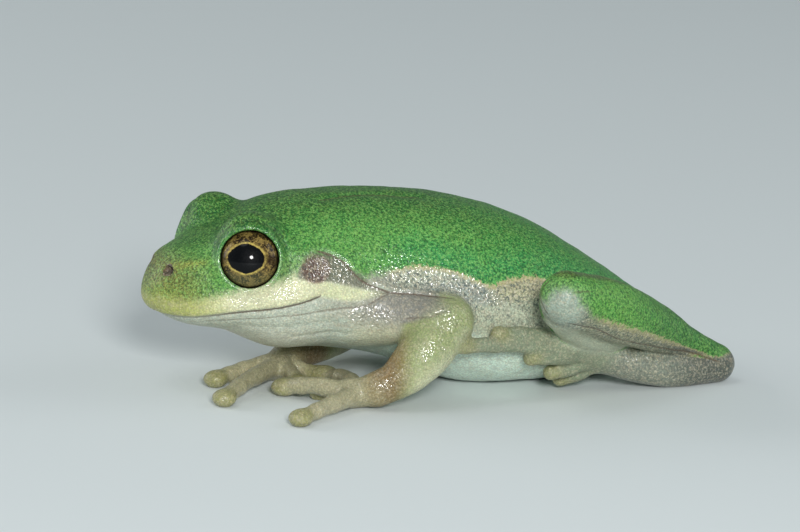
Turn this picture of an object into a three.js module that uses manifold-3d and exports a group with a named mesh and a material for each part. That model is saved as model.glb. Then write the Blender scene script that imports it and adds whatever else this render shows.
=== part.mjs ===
// A squirrel treefrog at rest, life size, in millimetres.
// It faces -Y, its left side is +X and +Z is up. The floor is at z = 0.
// The head and trunk are one loft along Y, parted at the neck. Limbs and digits are swept along
// their bones. Every piece gives way, by a thin gap, to the pieces that were made before it.
import * as THREE from 'three';
import { mergeVertices } from 'three/addons/utils/BufferGeometryUtils.js';
import Module from 'manifold-3d';

const wasm = await Module();
wasm.setup();

// ---------------------------------------------------------------- driving dimensions
const GAP = 0.3;                 // clear width of the cut between two pieces
const SNOUT = 0.4;               // y of the tip of the snout
const NECK = 10.7;               // y of the cut behind the jaw
const VENT = 36.2;               // y of the hind end of the trunk
const NOSE_TOP = 2.0;            // length over which the top of the snout rounds off
const NOSE_CHIN = 3.2;           // the same for the chin
const NOSE_SIDE = 3.6;           // the same for the lips
const RUMP = 3.6;                // the same for the hind end

// Cross-sections of head and trunk: where they lie, how high the back and belly are, half the
// width, how high the widest place is, and how square the upper and lower halves are.
const SECTIONS = [
  { y: 0.4, back: 7.95, belly: 4.35, half: 3.10, waist: 6.0, square: [2.2, 2.2] },
  { y: 2.5, back: 8.95, belly: 4.10, half: 3.75, waist: 5.8, square: [2.3, 2.3] },
  { y: 5.0, back: 10.10, belly: 3.80, half: 4.55, waist: 5.7, square: [2.3, 2.2] },
  { y: 8.0, back: 11.45, belly: 2.60, half: 5.45, waist: 5.7, square: [2.2, 2.1] },
  { y: 11.0, back: 11.90, belly: 2.50, half: 5.95, waist: 5.8, square: [2.1, 2.1] },
  { y: 15.0, back: 11.90, belly: 1.75, half: 6.40, waist: 5.5, square: [2.1, 2.1] },
  { y: 20.0, back: 11.25, belly: -0.05, half: 7.20, waist: 4.8, square: [2.1, 2.2] },
  { y: 25.0, back: 9.70, belly: -0.20, half: 7.10, waist: 4.1, square: [2.1, 2.3] },
  { y: 30.0, back: 6.80, belly: -0.05, half: 5.40, waist: 3.5, square: [2.1, 2.3] },
  { y: 34.0, back: 4.10, belly: 0.60, half: 3.90, waist: 2.7, square: [2.0, 2.1] },
  { y: 36.2, back: 3.30, belly: 1.20, half: 2.90, waist: 2.3, square: [2.0, 2.0] },
];

// The left eye; the right one mirrors it.
const EYE = new THREE.Vector3(3.3, 5.85, 8.5);
const EYE_AXIS = new THREE.Vector3(0.90, -0.36, 0.24).normalize();
const EYE_RADIUS = 1.95;
const EYE_OPENING = 1.72;        // radius of the part that shows between the lids
const ORBIT = 2.2;               // radius of the bulge that holds the eyeball
const LID = new THREE.Vector3(3.0, 5.95, 9.2);
const LID_RADII = new THREE.Vector3(2.0, 2.05, 2.2);
const ORBIT_BLEND = 0.3;         // how softly the lid runs into the bulge round the eye
const LID_BLEND = 1.1;           // how softly that bulge runs into the head

const DISC = 0.74;               // half the width of a toe pad on a long digit
const SMALL_DISC = 0.55;         // the same on the first finger
const TOE_DISC = 0.65;           // the same on the toes
const DISC_HEIGHT = 0.5;         // half the thickness of a pad that lies flat
const WEB = 0.5;                 // thickness of the web between the toes
const WEB_REACH = 0.55;          // how far along the toes the web reaches, as a share of their length
const WEB_NOTCH = 0.35;          // how far its edge hangs back towards the foot, as a share of that

// Limb paths: each row is the centre of a ball inside the limb (x, y, z) and its radius.
const LIMBS = {
  left: {
    upper_arm: [[4.4, 12.6, 5.3, 1.75], [6.2, 14.9, 5.2, 1.45], [7.6, 17.0, 5.0, 1.4]],
    forearm: [
      [7.6, 17.0, 5.0, 1.4], [8.15, 15.5, 3.5, 1.6], [8.2, 13.95, 2.05, 1.25], [7.8, 12.6, 1.25, 0.9],
    ],
    hand: [[7.8, 12.6, 1.2, 0.9], [7.0, 11.2, 0.85, 0.9]],
    finger: [
      [[6.5, 11.6, 0.75, 0.5], [5.4, 10.7, 0.55, 0.42], [4.6, 10.1, 0.42, 0.42]],
      [[6.5, 11.9, 0.95, 0.55], [3.8, 12.3, 0.95, 0.48], [0.8, 12.2, 0.5, 0.45]],
      [[6.9, 10.9, 0.95, 0.62], [5.3, 9.5, 1.05, 0.52], [3.3, 8.3, 0.55, 0.5]],
      [[7.7, 10.9, 0.85, 0.6], [9.3, 8.6, 0.7, 0.5], [10.6, 6.5, 0.48, 0.45]],
    ],
    thigh: [[3.2, 30.6, 3.2, 2.3], [7.0, 27.0, 4.7, 2.2], [10.4, 23.4, 6.3, 1.5]],
    shank: [
      [11.4, 23.05, 7.05, 1.65], [9.5, 26.9, 5.7, 1.85], [7.6, 31.0, 3.95, 1.45],
      [6.8, 33.4, 2.8, 1.0], [6.1, 36.0, 1.5, 0.85],
    ],
    tarsus: [
      [6.1, 36.0, 1.1, 1.15], [6.6, 32.8, 1.15, 1.2], [6.6, 30.2, 1.6, 1.2], [6.4, 28.0, 2.2, 1.05],
    ],
    foot: [[6.4, 28.0, 2.2, 1.05], [7.4, 25.2, 3.1, 0.9]],
    toe: [
      [[6.4, 27.4, 1.6, 0.55], [6.1, 26.4, 1.0, 0.48], [5.8, 25.5, 0.7, 0.42]],
      [[6.9, 26.5, 1.9, 0.55], [7.0, 25.4, 1.6, 0.48], [7.0, 24.3, 1.4, 0.42]],
      [[7.5, 25.0, 2.5, 0.55], [7.8, 23.8, 2.6, 0.48], [7.9, 22.5, 2.6, 0.42]],
      [[7.7, 25.0, 3.0, 0.6], [8.2, 21.2, 3.6, 0.5], [8.6, 17.8, 3.75, 0.45]],
      [[7.5, 25.2, 3.3, 0.55], [7.9, 22.6, 4.0, 0.48], [8.1, 20.2, 4.3, 0.42]],
    ],
  },
  right: {
    upper_arm: [[-4.4, 12.6, 5.0, 1.7], [-5.6, 14.8, 3.5, 1.45], [-5.6, 16.2, 2.3, 1.4]],
    forearm: [
      [-5.6, 16.2, 2.1, 1.4], [-4.6, 14.4, 1.6, 1.35], [-3.2, 12.4, 1.3, 1.15], [-1.9, 10.7, 1.1, 0.9],
    ],
    hand: [[-1.9, 10.7, 1.1, 0.9], [-0.8, 9.3, 0.8, 0.88]],
    finger: [
      [[-1.2, 10.4, 0.75, 0.5], [-0.4, 11.1, 0.6, 0.45], [0.4, 11.8, 0.45, 0.42]],
      [[-0.6, 9.8, 0.8, 0.55], [1.0, 9.8, 0.7, 0.48], [2.6, 9.6, 0.5, 0.45]],
      [[-0.2, 8.9, 0.85, 0.6], [2.1, 6.5, 0.8, 0.52], [4.9, 3.9, 0.5, 0.48]],
      [[-1.1, 8.6, 0.85, 0.6], [-0.5, 6.8, 0.7, 0.5], [0.2, 5.1, 0.5, 0.45]],
    ],
    thigh: [[-3.2, 30.6, 2.6, 2.1], [-7.2, 27.0, 3.6, 2.2], [-10.6, 23.0, 4.8, 1.5]],
    shank: [
      [-11.6, 22.4, 5.1, 1.65], [-10.2, 26.4, 4.2, 1.75], [-8.6, 31.0, 2.9, 1.3], [-7.4, 34.6, 1.6, 0.85],
    ],
    tarsus: [[-7.4, 34.7, 1.05, 1.15], [-8.9, 31.8, 1.05, 1.15], [-10.2, 28.0, 1.0, 1.05]],
    foot: [[-10.2, 28.0, 1.0, 1.05], [-11.0, 24.9, 0.85, 0.9]],
    toe: [
      [[-10.1, 26.4, 0.85, 0.55], [-9.4, 24.6, 0.65, 0.48], [-8.9, 22.9, 0.5, 0.42]],
      [[-10.5, 25.2, 0.85, 0.55], [-10.0, 22.8, 0.65, 0.48], [-9.7, 20.6, 0.5, 0.42]],
      [[-10.9, 24.8, 0.85, 0.55], [-11.0, 21.4, 0.65, 0.48], [-11.1, 18.0, 0.5, 0.45]],
      [[-11.2, 24.8, 0.85, 0.6], [-12.2, 20.4, 0.65, 0.5], [-13.0, 16.2, 0.5, 0.45]],
      [[-11.5, 25.2, 0.85, 0.55], [-13.2, 22.4, 0.65, 0.48], [-14.6, 19.8, 0.5, 0.42]],
    ],
  },
};

// ---------------------------------------------------------------- fineness of the meshes
// Faces round a piece and rows along it
const HEAD_DETAIL = [30, 20];
const TRUNK_DETAIL = [26, 17];
const CLEARANCE_DETAIL = [20, 18];
const LIMB_DETAIL = {
  upper_arm: [10, 8], forearm: [10, 9], hand: [8, 6],
  thigh: [12, 9], shank: [12, 12], tarsus: [10, 9], foot: [8, 6],
};
const DIGIT_DETAIL = [6, 6];
const DISC_DETAIL = [8, 4];
const EYE_SIDES = 18;
const EYE_ROWS = 5;              // rows over the part of the eyeball that shows
const WEB_ROWS = 3;              // steps along the hanging edge of a web
const MERGE = 1e-4;              // corners closer than this are one

// ---------------------------------------------------------------- materials
const matt = (name, color, roughness) => new THREE.MeshStandardMaterial({ name, color, roughness });
const GREEN = matt('green_skin', 0x5f9a3c, 0.45);
const PALE = matt('pale_skin', 0xc9bfa6, 0.45);
const EYE_GLOSS = matt('eye', 0x5a4522, 0.08);

// ---------------------------------------------------------------- small geometry tools
const rounded = (u) => Math.sqrt(Math.max(0, 1 - (1 - THREE.MathUtils.clamp(u, 0, 1)) ** 2));

// Smooth union of two distances.
function blend(a, b, width) {
  const h = Math.max(width - Math.abs(a - b), 0) / width;
  return Math.min(a, b) - h * h * width / 4;
}

// A closed mesh as a solid, with its shared corners merged.
function solid(geometry) {
  const bare = geometry.clone();
  bare.deleteAttribute('normal');
  bare.deleteAttribute('uv');
  const merged = mergeVertices(bare, MERGE);
  return new wasm.Manifold(new wasm.Mesh({
    numProp: 3,
    vertProperties: new Float32Array(merged.attributes.position.array),
    triVerts: new Uint32Array(merged.index.array),
  }));
}

function toGeometry(manifold) {
  const mesh = manifold.getMesh();
  const geometry = new THREE.BufferGeometry();
  geometry.setAttribute('position', new THREE.BufferAttribute(mesh.vertProperties, 3));
  geometry.setIndex(new THREE.BufferAttribute(mesh.triVerts, 1));
  geometry.computeVertexNormals();
  return geometry;
}

// A sphere whose rows and columns are moved by place(row, angle), row and angle being 0..1 and 0..2 pi.
function loft(sides, rows, place) {
  const geometry = new THREE.SphereGeometry(1, sides, rows);
  const { position, uv } = geometry.attributes;
  for (let i = 0; i < position.count; i += 1) {
    const row = Math.round((1 - uv.getY(i)) * rows);
    const column = Math.floor(i % (sides + 1)) % sides;
    const point = place(row, column / sides * Math.PI * 2);
    position.setXYZ(i, point.x, point.y, point.z);
  }
  return geometry;
}

// ---------------------------------------------------------------- head and trunk
// A cubic curve through the sections for each of their sizes.
function sectionAt(y) {
  const last = SECTIONS.length - 1;
  const i = Math.max(0, Math.min(last - 1, SECTIONS.findLastIndex((s) => s.y <= y)));
  const read = (s) => [s.back, s.belly, s.half, s.waist, ...s.square];
  const slope = (k) => {
    const a = SECTIONS[Math.max(0, k - 1)];
    const b = SECTIONS[Math.min(last, k + 1)];
    return read(b).map((value, n) => (value - read(a)[n]) / (b.y - a.y));
  };
  const [from, to, before, after] = [read(SECTIONS[i]), read(SECTIONS[i + 1]), slope(i), slope(i + 1)];
  const step = SECTIONS[i + 1].y - SECTIONS[i].y;
  const t = (y - SECTIONS[i].y) / step;
  const [back, belly, half, waist, upper, lower] = from.map((value, n) => (
    (2 * t ** 3 - 3 * t ** 2 + 1) * value + (t ** 3 - 2 * t ** 2 + t) * step * before[n]
    + (3 * t ** 2 - 2 * t ** 3) * to[n] + (t ** 3 - t ** 2) * step * after[n]));
  const tail = rounded((VENT - y) / RUMP);
  return {
    waist,
    above: (back - waist) * rounded((y - SNOUT) / NOSE_TOP) * tail,
    below: (waist - belly) * rounded((y - SNOUT) / NOSE_CHIN) * tail,
    half: half * rounded((y - SNOUT) / NOSE_SIDE) * tail,
    upper,
    lower,
  };
}

// Distance from a point to the section's outline, about right near it and zero on it.
function outlineDistance(s, x, z) {
  const least = 0.05;            // keeps the sizes from shrinking to nothing at the ends
  const tiny = 1e-3;
  const up = z > s.waist;
  const height = Math.max(up ? s.above : s.below, least);
  const half = Math.max(s.half, least);
  const power = up ? s.upper : s.lower;
  const across = Math.abs(x) / half;
  const along = Math.abs(z - s.waist) / height;
  const reach = Math.max((across ** power + along ** power) ** (1 / power), tiny);
  const slope = Math.hypot(
    (across / reach) ** (power - 1) / half,
    (along / reach) ** (power - 1) / height,
  );
  return (reach - 1) / Math.max(slope, tiny);
}

// Distance to the bulge over one eye: the upper lid and the ball that holds the eye.
function bulgeDistance(x, y, z, side) {
  const offset = new THREE.Vector3(x - LID.x * side, y - LID.y, z - LID.z);
  const inner = offset.clone().divide(LID_RADII).length();
  const outer = offset.clone().divide(LID_RADII).divide(LID_RADII).length();
  const lid = outer > 0 ? inner * (inner - 1) / outer : -LID_RADII.x;
  const orbit = Math.hypot(x - EYE.x * side, y - EYE.y, z - EYE.z) - ORBIT;
  return blend(lid, orbit, ORBIT_BLEND);
}

// How far the skin lies from the middle of the body at y, in the direction of the angle.
function bodyReach(s, y, angle) {
  const outside = (r) => {
    const x = r * Math.cos(angle);
    const z = s.waist + r * Math.sin(angle);
    const shell = outlineDistance(s, x, z);
    const left = blend(shell, bulgeDistance(x, y, z, 1), LID_BLEND);
    return blend(left, bulgeDistance(x, y, z, -1), LID_BLEND);
  };
  let inner = 0;
  let outer = 12;                // farther from the middle line than any of the skin
  const halvings = 30;
  for (let pass = 0; pass < halvings; pass += 1) {
    const middle = (inner + outer) / 2;
    if (outside(middle) > 0) outer = middle; else inner = middle;
  }
  return inner;
}

// The body's skin over a row of ys, closed at both ends by a point on the middle line.
function bodyLoft([sides, rows], yOfRow, grow = 0) {
  const inside = 0.01;           // how far inside the two ends the last sections are taken
  return loft(sides, rows, (row, angle) => {
    const y = yOfRow(row);
    const s = sectionAt(THREE.MathUtils.clamp(y, SNOUT + inside, VENT - inside));
    const pole = row === 0 || row === rows;
    const reach = pole ? 0 : bodyReach(s, y, angle) + grow;
    return new THREE.Vector3(reach * Math.cos(angle), y, s.waist + reach * Math.sin(angle));
  });
}

function headSolid() {
  const last = HEAD_DETAIL[1] - 1;
  const yOfRow = (row) => {
    const t = Math.min(row / last, 1);
    return SNOUT + (NECK - SNOUT) * (1 - Math.cos(t * Math.PI / 2));
  };
  return solid(bodyLoft(HEAD_DETAIL, yOfRow));
}

function trunkSolid() {
  const last = TRUNK_DETAIL[1] - 1;
  const start = NECK + GAP;
  const yOfRow = (row) => {
    const t = Math.max((row - 1) / last, 0);
    return start + (VENT - start) * Math.sin(t * Math.PI / 2);
  };
  return solid(bodyLoft(TRUNK_DETAIL, yOfRow));
}

// Head and trunk in one and a gap larger all round, to cut what lies against them.
function bodyClearance() {
  const rows = CLEARANCE_DETAIL[1];
  const yOfRow = (row) => {
    const t = (1 - Math.cos(row / rows * Math.PI)) / 2;
    return SNOUT - GAP + (VENT - SNOUT + 2 * GAP) * t;
  };
  return solid(bodyLoft(CLEARANCE_DETAIL, yOfRow, GAP));
}

// ---------------------------------------------------------------- eyes
// Turns a profile round the middle line of one eye.
function turnedAtEye(profile, side) {
  const geometry = new THREE.LatheGeometry(profile, EYE_SIDES);
  const axis = new THREE.Vector3(EYE_AXIS.x * side, EYE_AXIS.y, EYE_AXIS.z);
  geometry.applyQuaternion(new THREE.Quaternion().setFromUnitVectors(new THREE.Vector3(0, 1, 0), axis));
  geometry.translate(EYE.x * side, EYE.y, EYE.z);
  return solid(geometry);
}

// The part of the eyeball that shows, as a plug with a round front.
function eyePlug(side) {
  const rim = Math.asin(EYE_OPENING / EYE_RADIUS);
  const profile = [new THREE.Vector2(0, 0), new THREE.Vector2(EYE_OPENING, 0)];
  for (let i = EYE_ROWS; i > 0; i -= 1) {
    const angle = rim * i / EYE_ROWS;
    profile.push(new THREE.Vector2(EYE_RADIUS * Math.sin(angle), EYE_RADIUS * Math.cos(angle)));
  }
  profile.push(new THREE.Vector2(0, EYE_RADIUS));
  return turnedAtEye(profile, side);
}

// The straight-sided socket that holds the plug, open to the outside.
function eyeSocket(side) {
  const radius = EYE_OPENING + GAP;
  const mouth = EYE_RADIUS * 2;
  return turnedAtEye([
    new THREE.Vector2(0, -GAP),
    new THREE.Vector2(radius, -GAP),
    new THREE.Vector2(radius, mouth),
    new THREE.Vector2(0, mouth),
  ], side);
}

// ---------------------------------------------------------------- limbs
const UP = new THREE.Vector3(0, 0, 1);

const smoothCurve = (points) => new THREE.CatmullRomCurve3(points, false, 'catmullrom');

// A limb's skin: balls along a smooth path, with half-round ends.
function sweep(path, [sides, rows], grow = 0) {
  const middle = smoothCurve(path.map(([x, y, z]) => new THREE.Vector3(x, y, z)));
  const girth = smoothCurve(path.map((row) => new THREE.Vector3(row[3], 0, 0)));
  const length = middle.getLength();
  const startRadius = path[0][3] + grow;
  const endRadius = path[path.length - 1][3] + grow;
  return loft(sides, rows, (row, angle) => {
    const along = (length + startRadius + endRadius) * (1 - Math.cos(row / rows * Math.PI)) / 2 - startRadius;
    const t = middle.getUtoTmapping(THREE.MathUtils.clamp(along / length, 0, 1));
    const before = Math.max(-along, 0) / startRadius;
    const after = Math.max(along - length, 0) / endRadius;
    const cap = Math.sqrt(Math.max(0, 1 - Math.max(before, after) ** 2));
    const radius = (girth.getPoint(t).x + grow) * cap;
    const forward = middle.getTangent(t);
    const side = new THREE.Vector3().crossVectors(forward, UP).normalize();
    const above = new THREE.Vector3().crossVectors(side, forward);
    return middle.getPoint(t)
      .addScaledVector(forward, after * endRadius - before * startRadius)
      .addScaledVector(side, radius * Math.cos(angle))
      .addScaledVector(above, radius * Math.sin(angle));
  });
}

// The round pad under a digit's tip. Where the digit lies on the floor the pad is flat.
function disc(tip, halfWidth, upright, grow = 0) {
  const geometry = new THREE.SphereGeometry(1, ...DISC_DETAIL);
  const thin = DISC_HEIGHT + grow;
  const wide = halfWidth + grow;
  geometry.rotateX(Math.PI / 2);
  geometry.scale(upright ? thin : wide, wide, upright ? wide : thin);
  geometry.translate(tip[0], tip[1], tip[2]);
  return solid(geometry);
}

function digit(path, halfWidth, upright, grow = 0) {
  const bone = solid(sweep(path, DIGIT_DETAIL, grow));
  return bone.add(disc(path[path.length - 1], halfWidth, upright, grow));
}

// The web on a flat foot between a toe and the next one, up to a gap from the next one.
function web(path, next) {
  const placeAlong = (toe, share) => {
    const [first, last] = [toe[0], toe[toe.length - 1]];
    return new THREE.Vector2(first[0], first[1]).lerp(new THREE.Vector2(last[0], last[1]), share);
  };
  const here = placeAlong(path, WEB_REACH);
  const there = placeAlong(next, WEB_REACH);
  const root = placeAlong(path, 0).lerp(placeAlong(next, 0), 0.5);
  const notch = here.clone().lerp(there, 0.5).lerp(root, WEB_NOTCH);
  const outline = new THREE.Shape();
  outline.moveTo(path[0][0], path[0][1]);
  outline.lineTo(here.x, here.y);
  outline.quadraticCurveTo(notch.x, notch.y, there.x, there.y);
  outline.lineTo(next[0][0], next[0][1]);
  const settings = { depth: WEB, bevelEnabled: false, curveSegments: WEB_ROWS };
  const sheet = new THREE.ExtrudeGeometry(outline, settings);
  sheet.translate(0, 0, WEB / 4);
  return solid(sheet).subtract(solid(sweep(next, DIGIT_DETAIL, GAP)));
}

// ---------------------------------------------------------------- the pieces, in the order of cutting
// Each entry makes its piece, or the piece grown by the gap.
function pieceList() {
  const list = [];
  const add = (name, material, make) => list.push({ name, material, make });
  for (const [side, limbs] of Object.entries(LIMBS)) {
    for (const bone of ['shank', 'thigh', 'tarsus', 'foot', 'upper_arm', 'forearm', 'hand']) {
      const material = bone === 'thigh' || bone === 'shank' ? GREEN : PALE;
      add(`${bone}_${side}`, material, (grow) => solid(sweep(limbs[bone], LIMB_DETAIL[bone], grow)));
    }
  }
  for (const [side, limbs] of Object.entries(LIMBS)) {
    const raised = side === 'left';
    limbs.finger.forEach((path, i) => {
      const halfWidth = i === 0 ? SMALL_DISC : DISC;
      add(`finger_${i + 1}_${side}`, PALE, (grow) => digit(path, halfWidth, false, grow));
    });
    limbs.toe.forEach((path, i) => {
      const next = limbs.toe[i + 1];
      const webbed = next && !raised;
      add(`toe_${i + 1}_${side}`, PALE, (grow) => {
        const toe = digit(path, TOE_DISC, raised, grow);
        return webbed && grow === 0 ? toe.add(web(path, next)) : toe;
      });
    });
  }
  return list;
}

function boxOf(manifold) {
  const corners = new THREE.BufferAttribute(manifold.getMesh().vertProperties, 3);
  return new THREE.Box3().setFromBufferAttribute(corners);
}

// What lies under the floor: a slab far larger than the frog.
function belowFloor() {
  const [width, length, depth] = [80, 120, 5];
  const slab = new THREE.BoxGeometry(width, length, depth);
  slab.translate(0, VENT / 2, -depth / 2);
  return solid(slab);
}

function buildFrog() {
  const group = new THREE.Group();
  const under = belowFloor();
  const put = (name, material, manifold) => {
    const mesh = new THREE.Mesh(toGeometry(manifold.subtract(under)), material.clone());
    mesh.name = name;
    group.add(mesh);
  };
  let head = headSolid();
  for (const [side, sign] of [['left', 1], ['right', -1]]) {
    put(`eye_${side}`, EYE_GLOSS, eyePlug(sign));
    head = head.subtract(eyeSocket(sign));
  }
  put('head', GREEN, head);
  put('trunk', GREEN, trunkSolid());
  const clearances = [bodyClearance()];
  for (const { name, material, make } of pieceList()) {
    let piece = make(0);
    for (const clearance of clearances) {
      if (boxOf(piece).intersectsBox(boxOf(clearance))) piece = piece.subtract(clearance);
    }
    put(name, material, piece);
    clearances.push(make(GAP));
  }
  return group;
}

const frog = buildFrog();
frog.updateMatrixWorld(true);

// The origin is in the middle of the footprint, on the floor.
const bounds = new THREE.Box3().setFromObject(frog);
const centre = bounds.getCenter(new THREE.Vector3());
frog.position.set(-centre.x, -centre.y, -bounds.min.z);

export default frog;
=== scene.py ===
"""A squirrel treefrog at rest, life size.

Lengths are millimetres in the CAD source's own frame, until a mesh is made: the frog faces -Y, its
left side is +X, and the floor is z = 0. placed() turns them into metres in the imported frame.
One skin stands for all the flesh. It is the surface where a field of distances is zero: the trunk,
the limbs and the digits are blended in that field, and folds, lids and pads are carved into it.
"""

import math

import bmesh
import bpy
import numpy as np
import openvdb
from mathutils import Matrix, Vector

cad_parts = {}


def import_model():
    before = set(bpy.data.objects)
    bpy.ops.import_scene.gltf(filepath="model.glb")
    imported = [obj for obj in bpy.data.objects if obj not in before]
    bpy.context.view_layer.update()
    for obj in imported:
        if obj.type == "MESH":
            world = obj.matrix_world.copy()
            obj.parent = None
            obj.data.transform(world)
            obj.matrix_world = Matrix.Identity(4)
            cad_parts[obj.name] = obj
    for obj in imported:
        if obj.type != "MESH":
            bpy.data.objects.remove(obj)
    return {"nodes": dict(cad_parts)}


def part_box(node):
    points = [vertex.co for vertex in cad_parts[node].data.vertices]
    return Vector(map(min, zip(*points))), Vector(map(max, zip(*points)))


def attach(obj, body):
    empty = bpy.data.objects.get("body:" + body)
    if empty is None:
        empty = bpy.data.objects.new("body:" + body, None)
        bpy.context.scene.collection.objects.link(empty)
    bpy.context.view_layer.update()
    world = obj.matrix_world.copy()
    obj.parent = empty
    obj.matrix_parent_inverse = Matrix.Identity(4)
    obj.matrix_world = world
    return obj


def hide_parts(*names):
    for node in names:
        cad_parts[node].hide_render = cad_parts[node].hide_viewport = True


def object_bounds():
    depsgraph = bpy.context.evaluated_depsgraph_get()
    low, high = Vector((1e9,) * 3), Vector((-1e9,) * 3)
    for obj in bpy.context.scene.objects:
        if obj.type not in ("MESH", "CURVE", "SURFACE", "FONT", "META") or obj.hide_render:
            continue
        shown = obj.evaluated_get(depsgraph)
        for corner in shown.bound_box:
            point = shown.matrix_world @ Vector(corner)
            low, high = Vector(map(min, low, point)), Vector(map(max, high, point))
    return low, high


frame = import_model()
CAD_LOW, CAD_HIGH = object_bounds()

MM = 0.001


def unit(*direction):
    return np.array(direction) / np.linalg.norm(direction)


# ---- sizes, as in the CAD source
SNOUT = 0.4  # y of the tip of the snout
VENT = 36.2  # y of the hind end of the trunk
NOSE_TOP = 2.0  # length over which the top of the snout rounds off
NOSE_CHIN = 3.2  # the same for the chin
NOSE_SIDE = 3.6  # the same for the lips
RUMP = 3.6  # the same for the hind end

# y, height of the back, of the belly, half width, height of the widest place, squareness above, below
SECTIONS = np.array((
    (0.4, 7.95, 4.35, 3.10, 6.0, 2.2, 2.2),
    (2.5, 8.95, 4.10, 3.75, 5.8, 2.3, 2.3),
    (5.0, 10.10, 3.80, 4.55, 5.7, 2.3, 2.2),
    (8.0, 11.45, 2.60, 5.45, 5.7, 2.2, 2.1),
    (11.0, 11.90, 2.50, 5.95, 5.8, 2.1, 2.1),
    (15.0, 11.90, 1.75, 6.40, 5.5, 2.1, 2.1),
    (20.0, 11.25, -0.05, 7.20, 4.8, 2.1, 2.2),
    (25.0, 9.70, -0.20, 7.10, 4.1, 2.1, 2.3),
    (30.0, 6.80, -0.05, 5.40, 3.5, 2.1, 2.3),
    (34.0, 4.10, 0.60, 3.90, 2.7, 2.0, 2.1),
    (36.2, 3.30, 1.20, 2.90, 2.3, 2.0, 2.0),
))

EYE = np.array((3.3, 5.85, 8.5))  # the left eye; the right one mirrors it
EYE_AXIS = unit(0.90, -0.36, 0.24)
EYE_RADIUS = 1.95
EYE_OPENING = 1.72  # radius of the part that shows between the lids
ORBIT = 2.2  # radius of the bulge that holds the eyeball
LID = (3.0, 5.95, 9.2)
LID_RADII = (2.0, 2.05, 2.2)
ORBIT_BLEND = 0.3
LID_BLEND = 0.75

DISC = 0.74  # half the width of a pad on a long finger
SMALL_DISC = 0.55  # the same on the first finger
TOE_DISC = 0.65  # the same on the toes
DISC_HEIGHT = 0.5  # half the thickness of a pad

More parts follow.
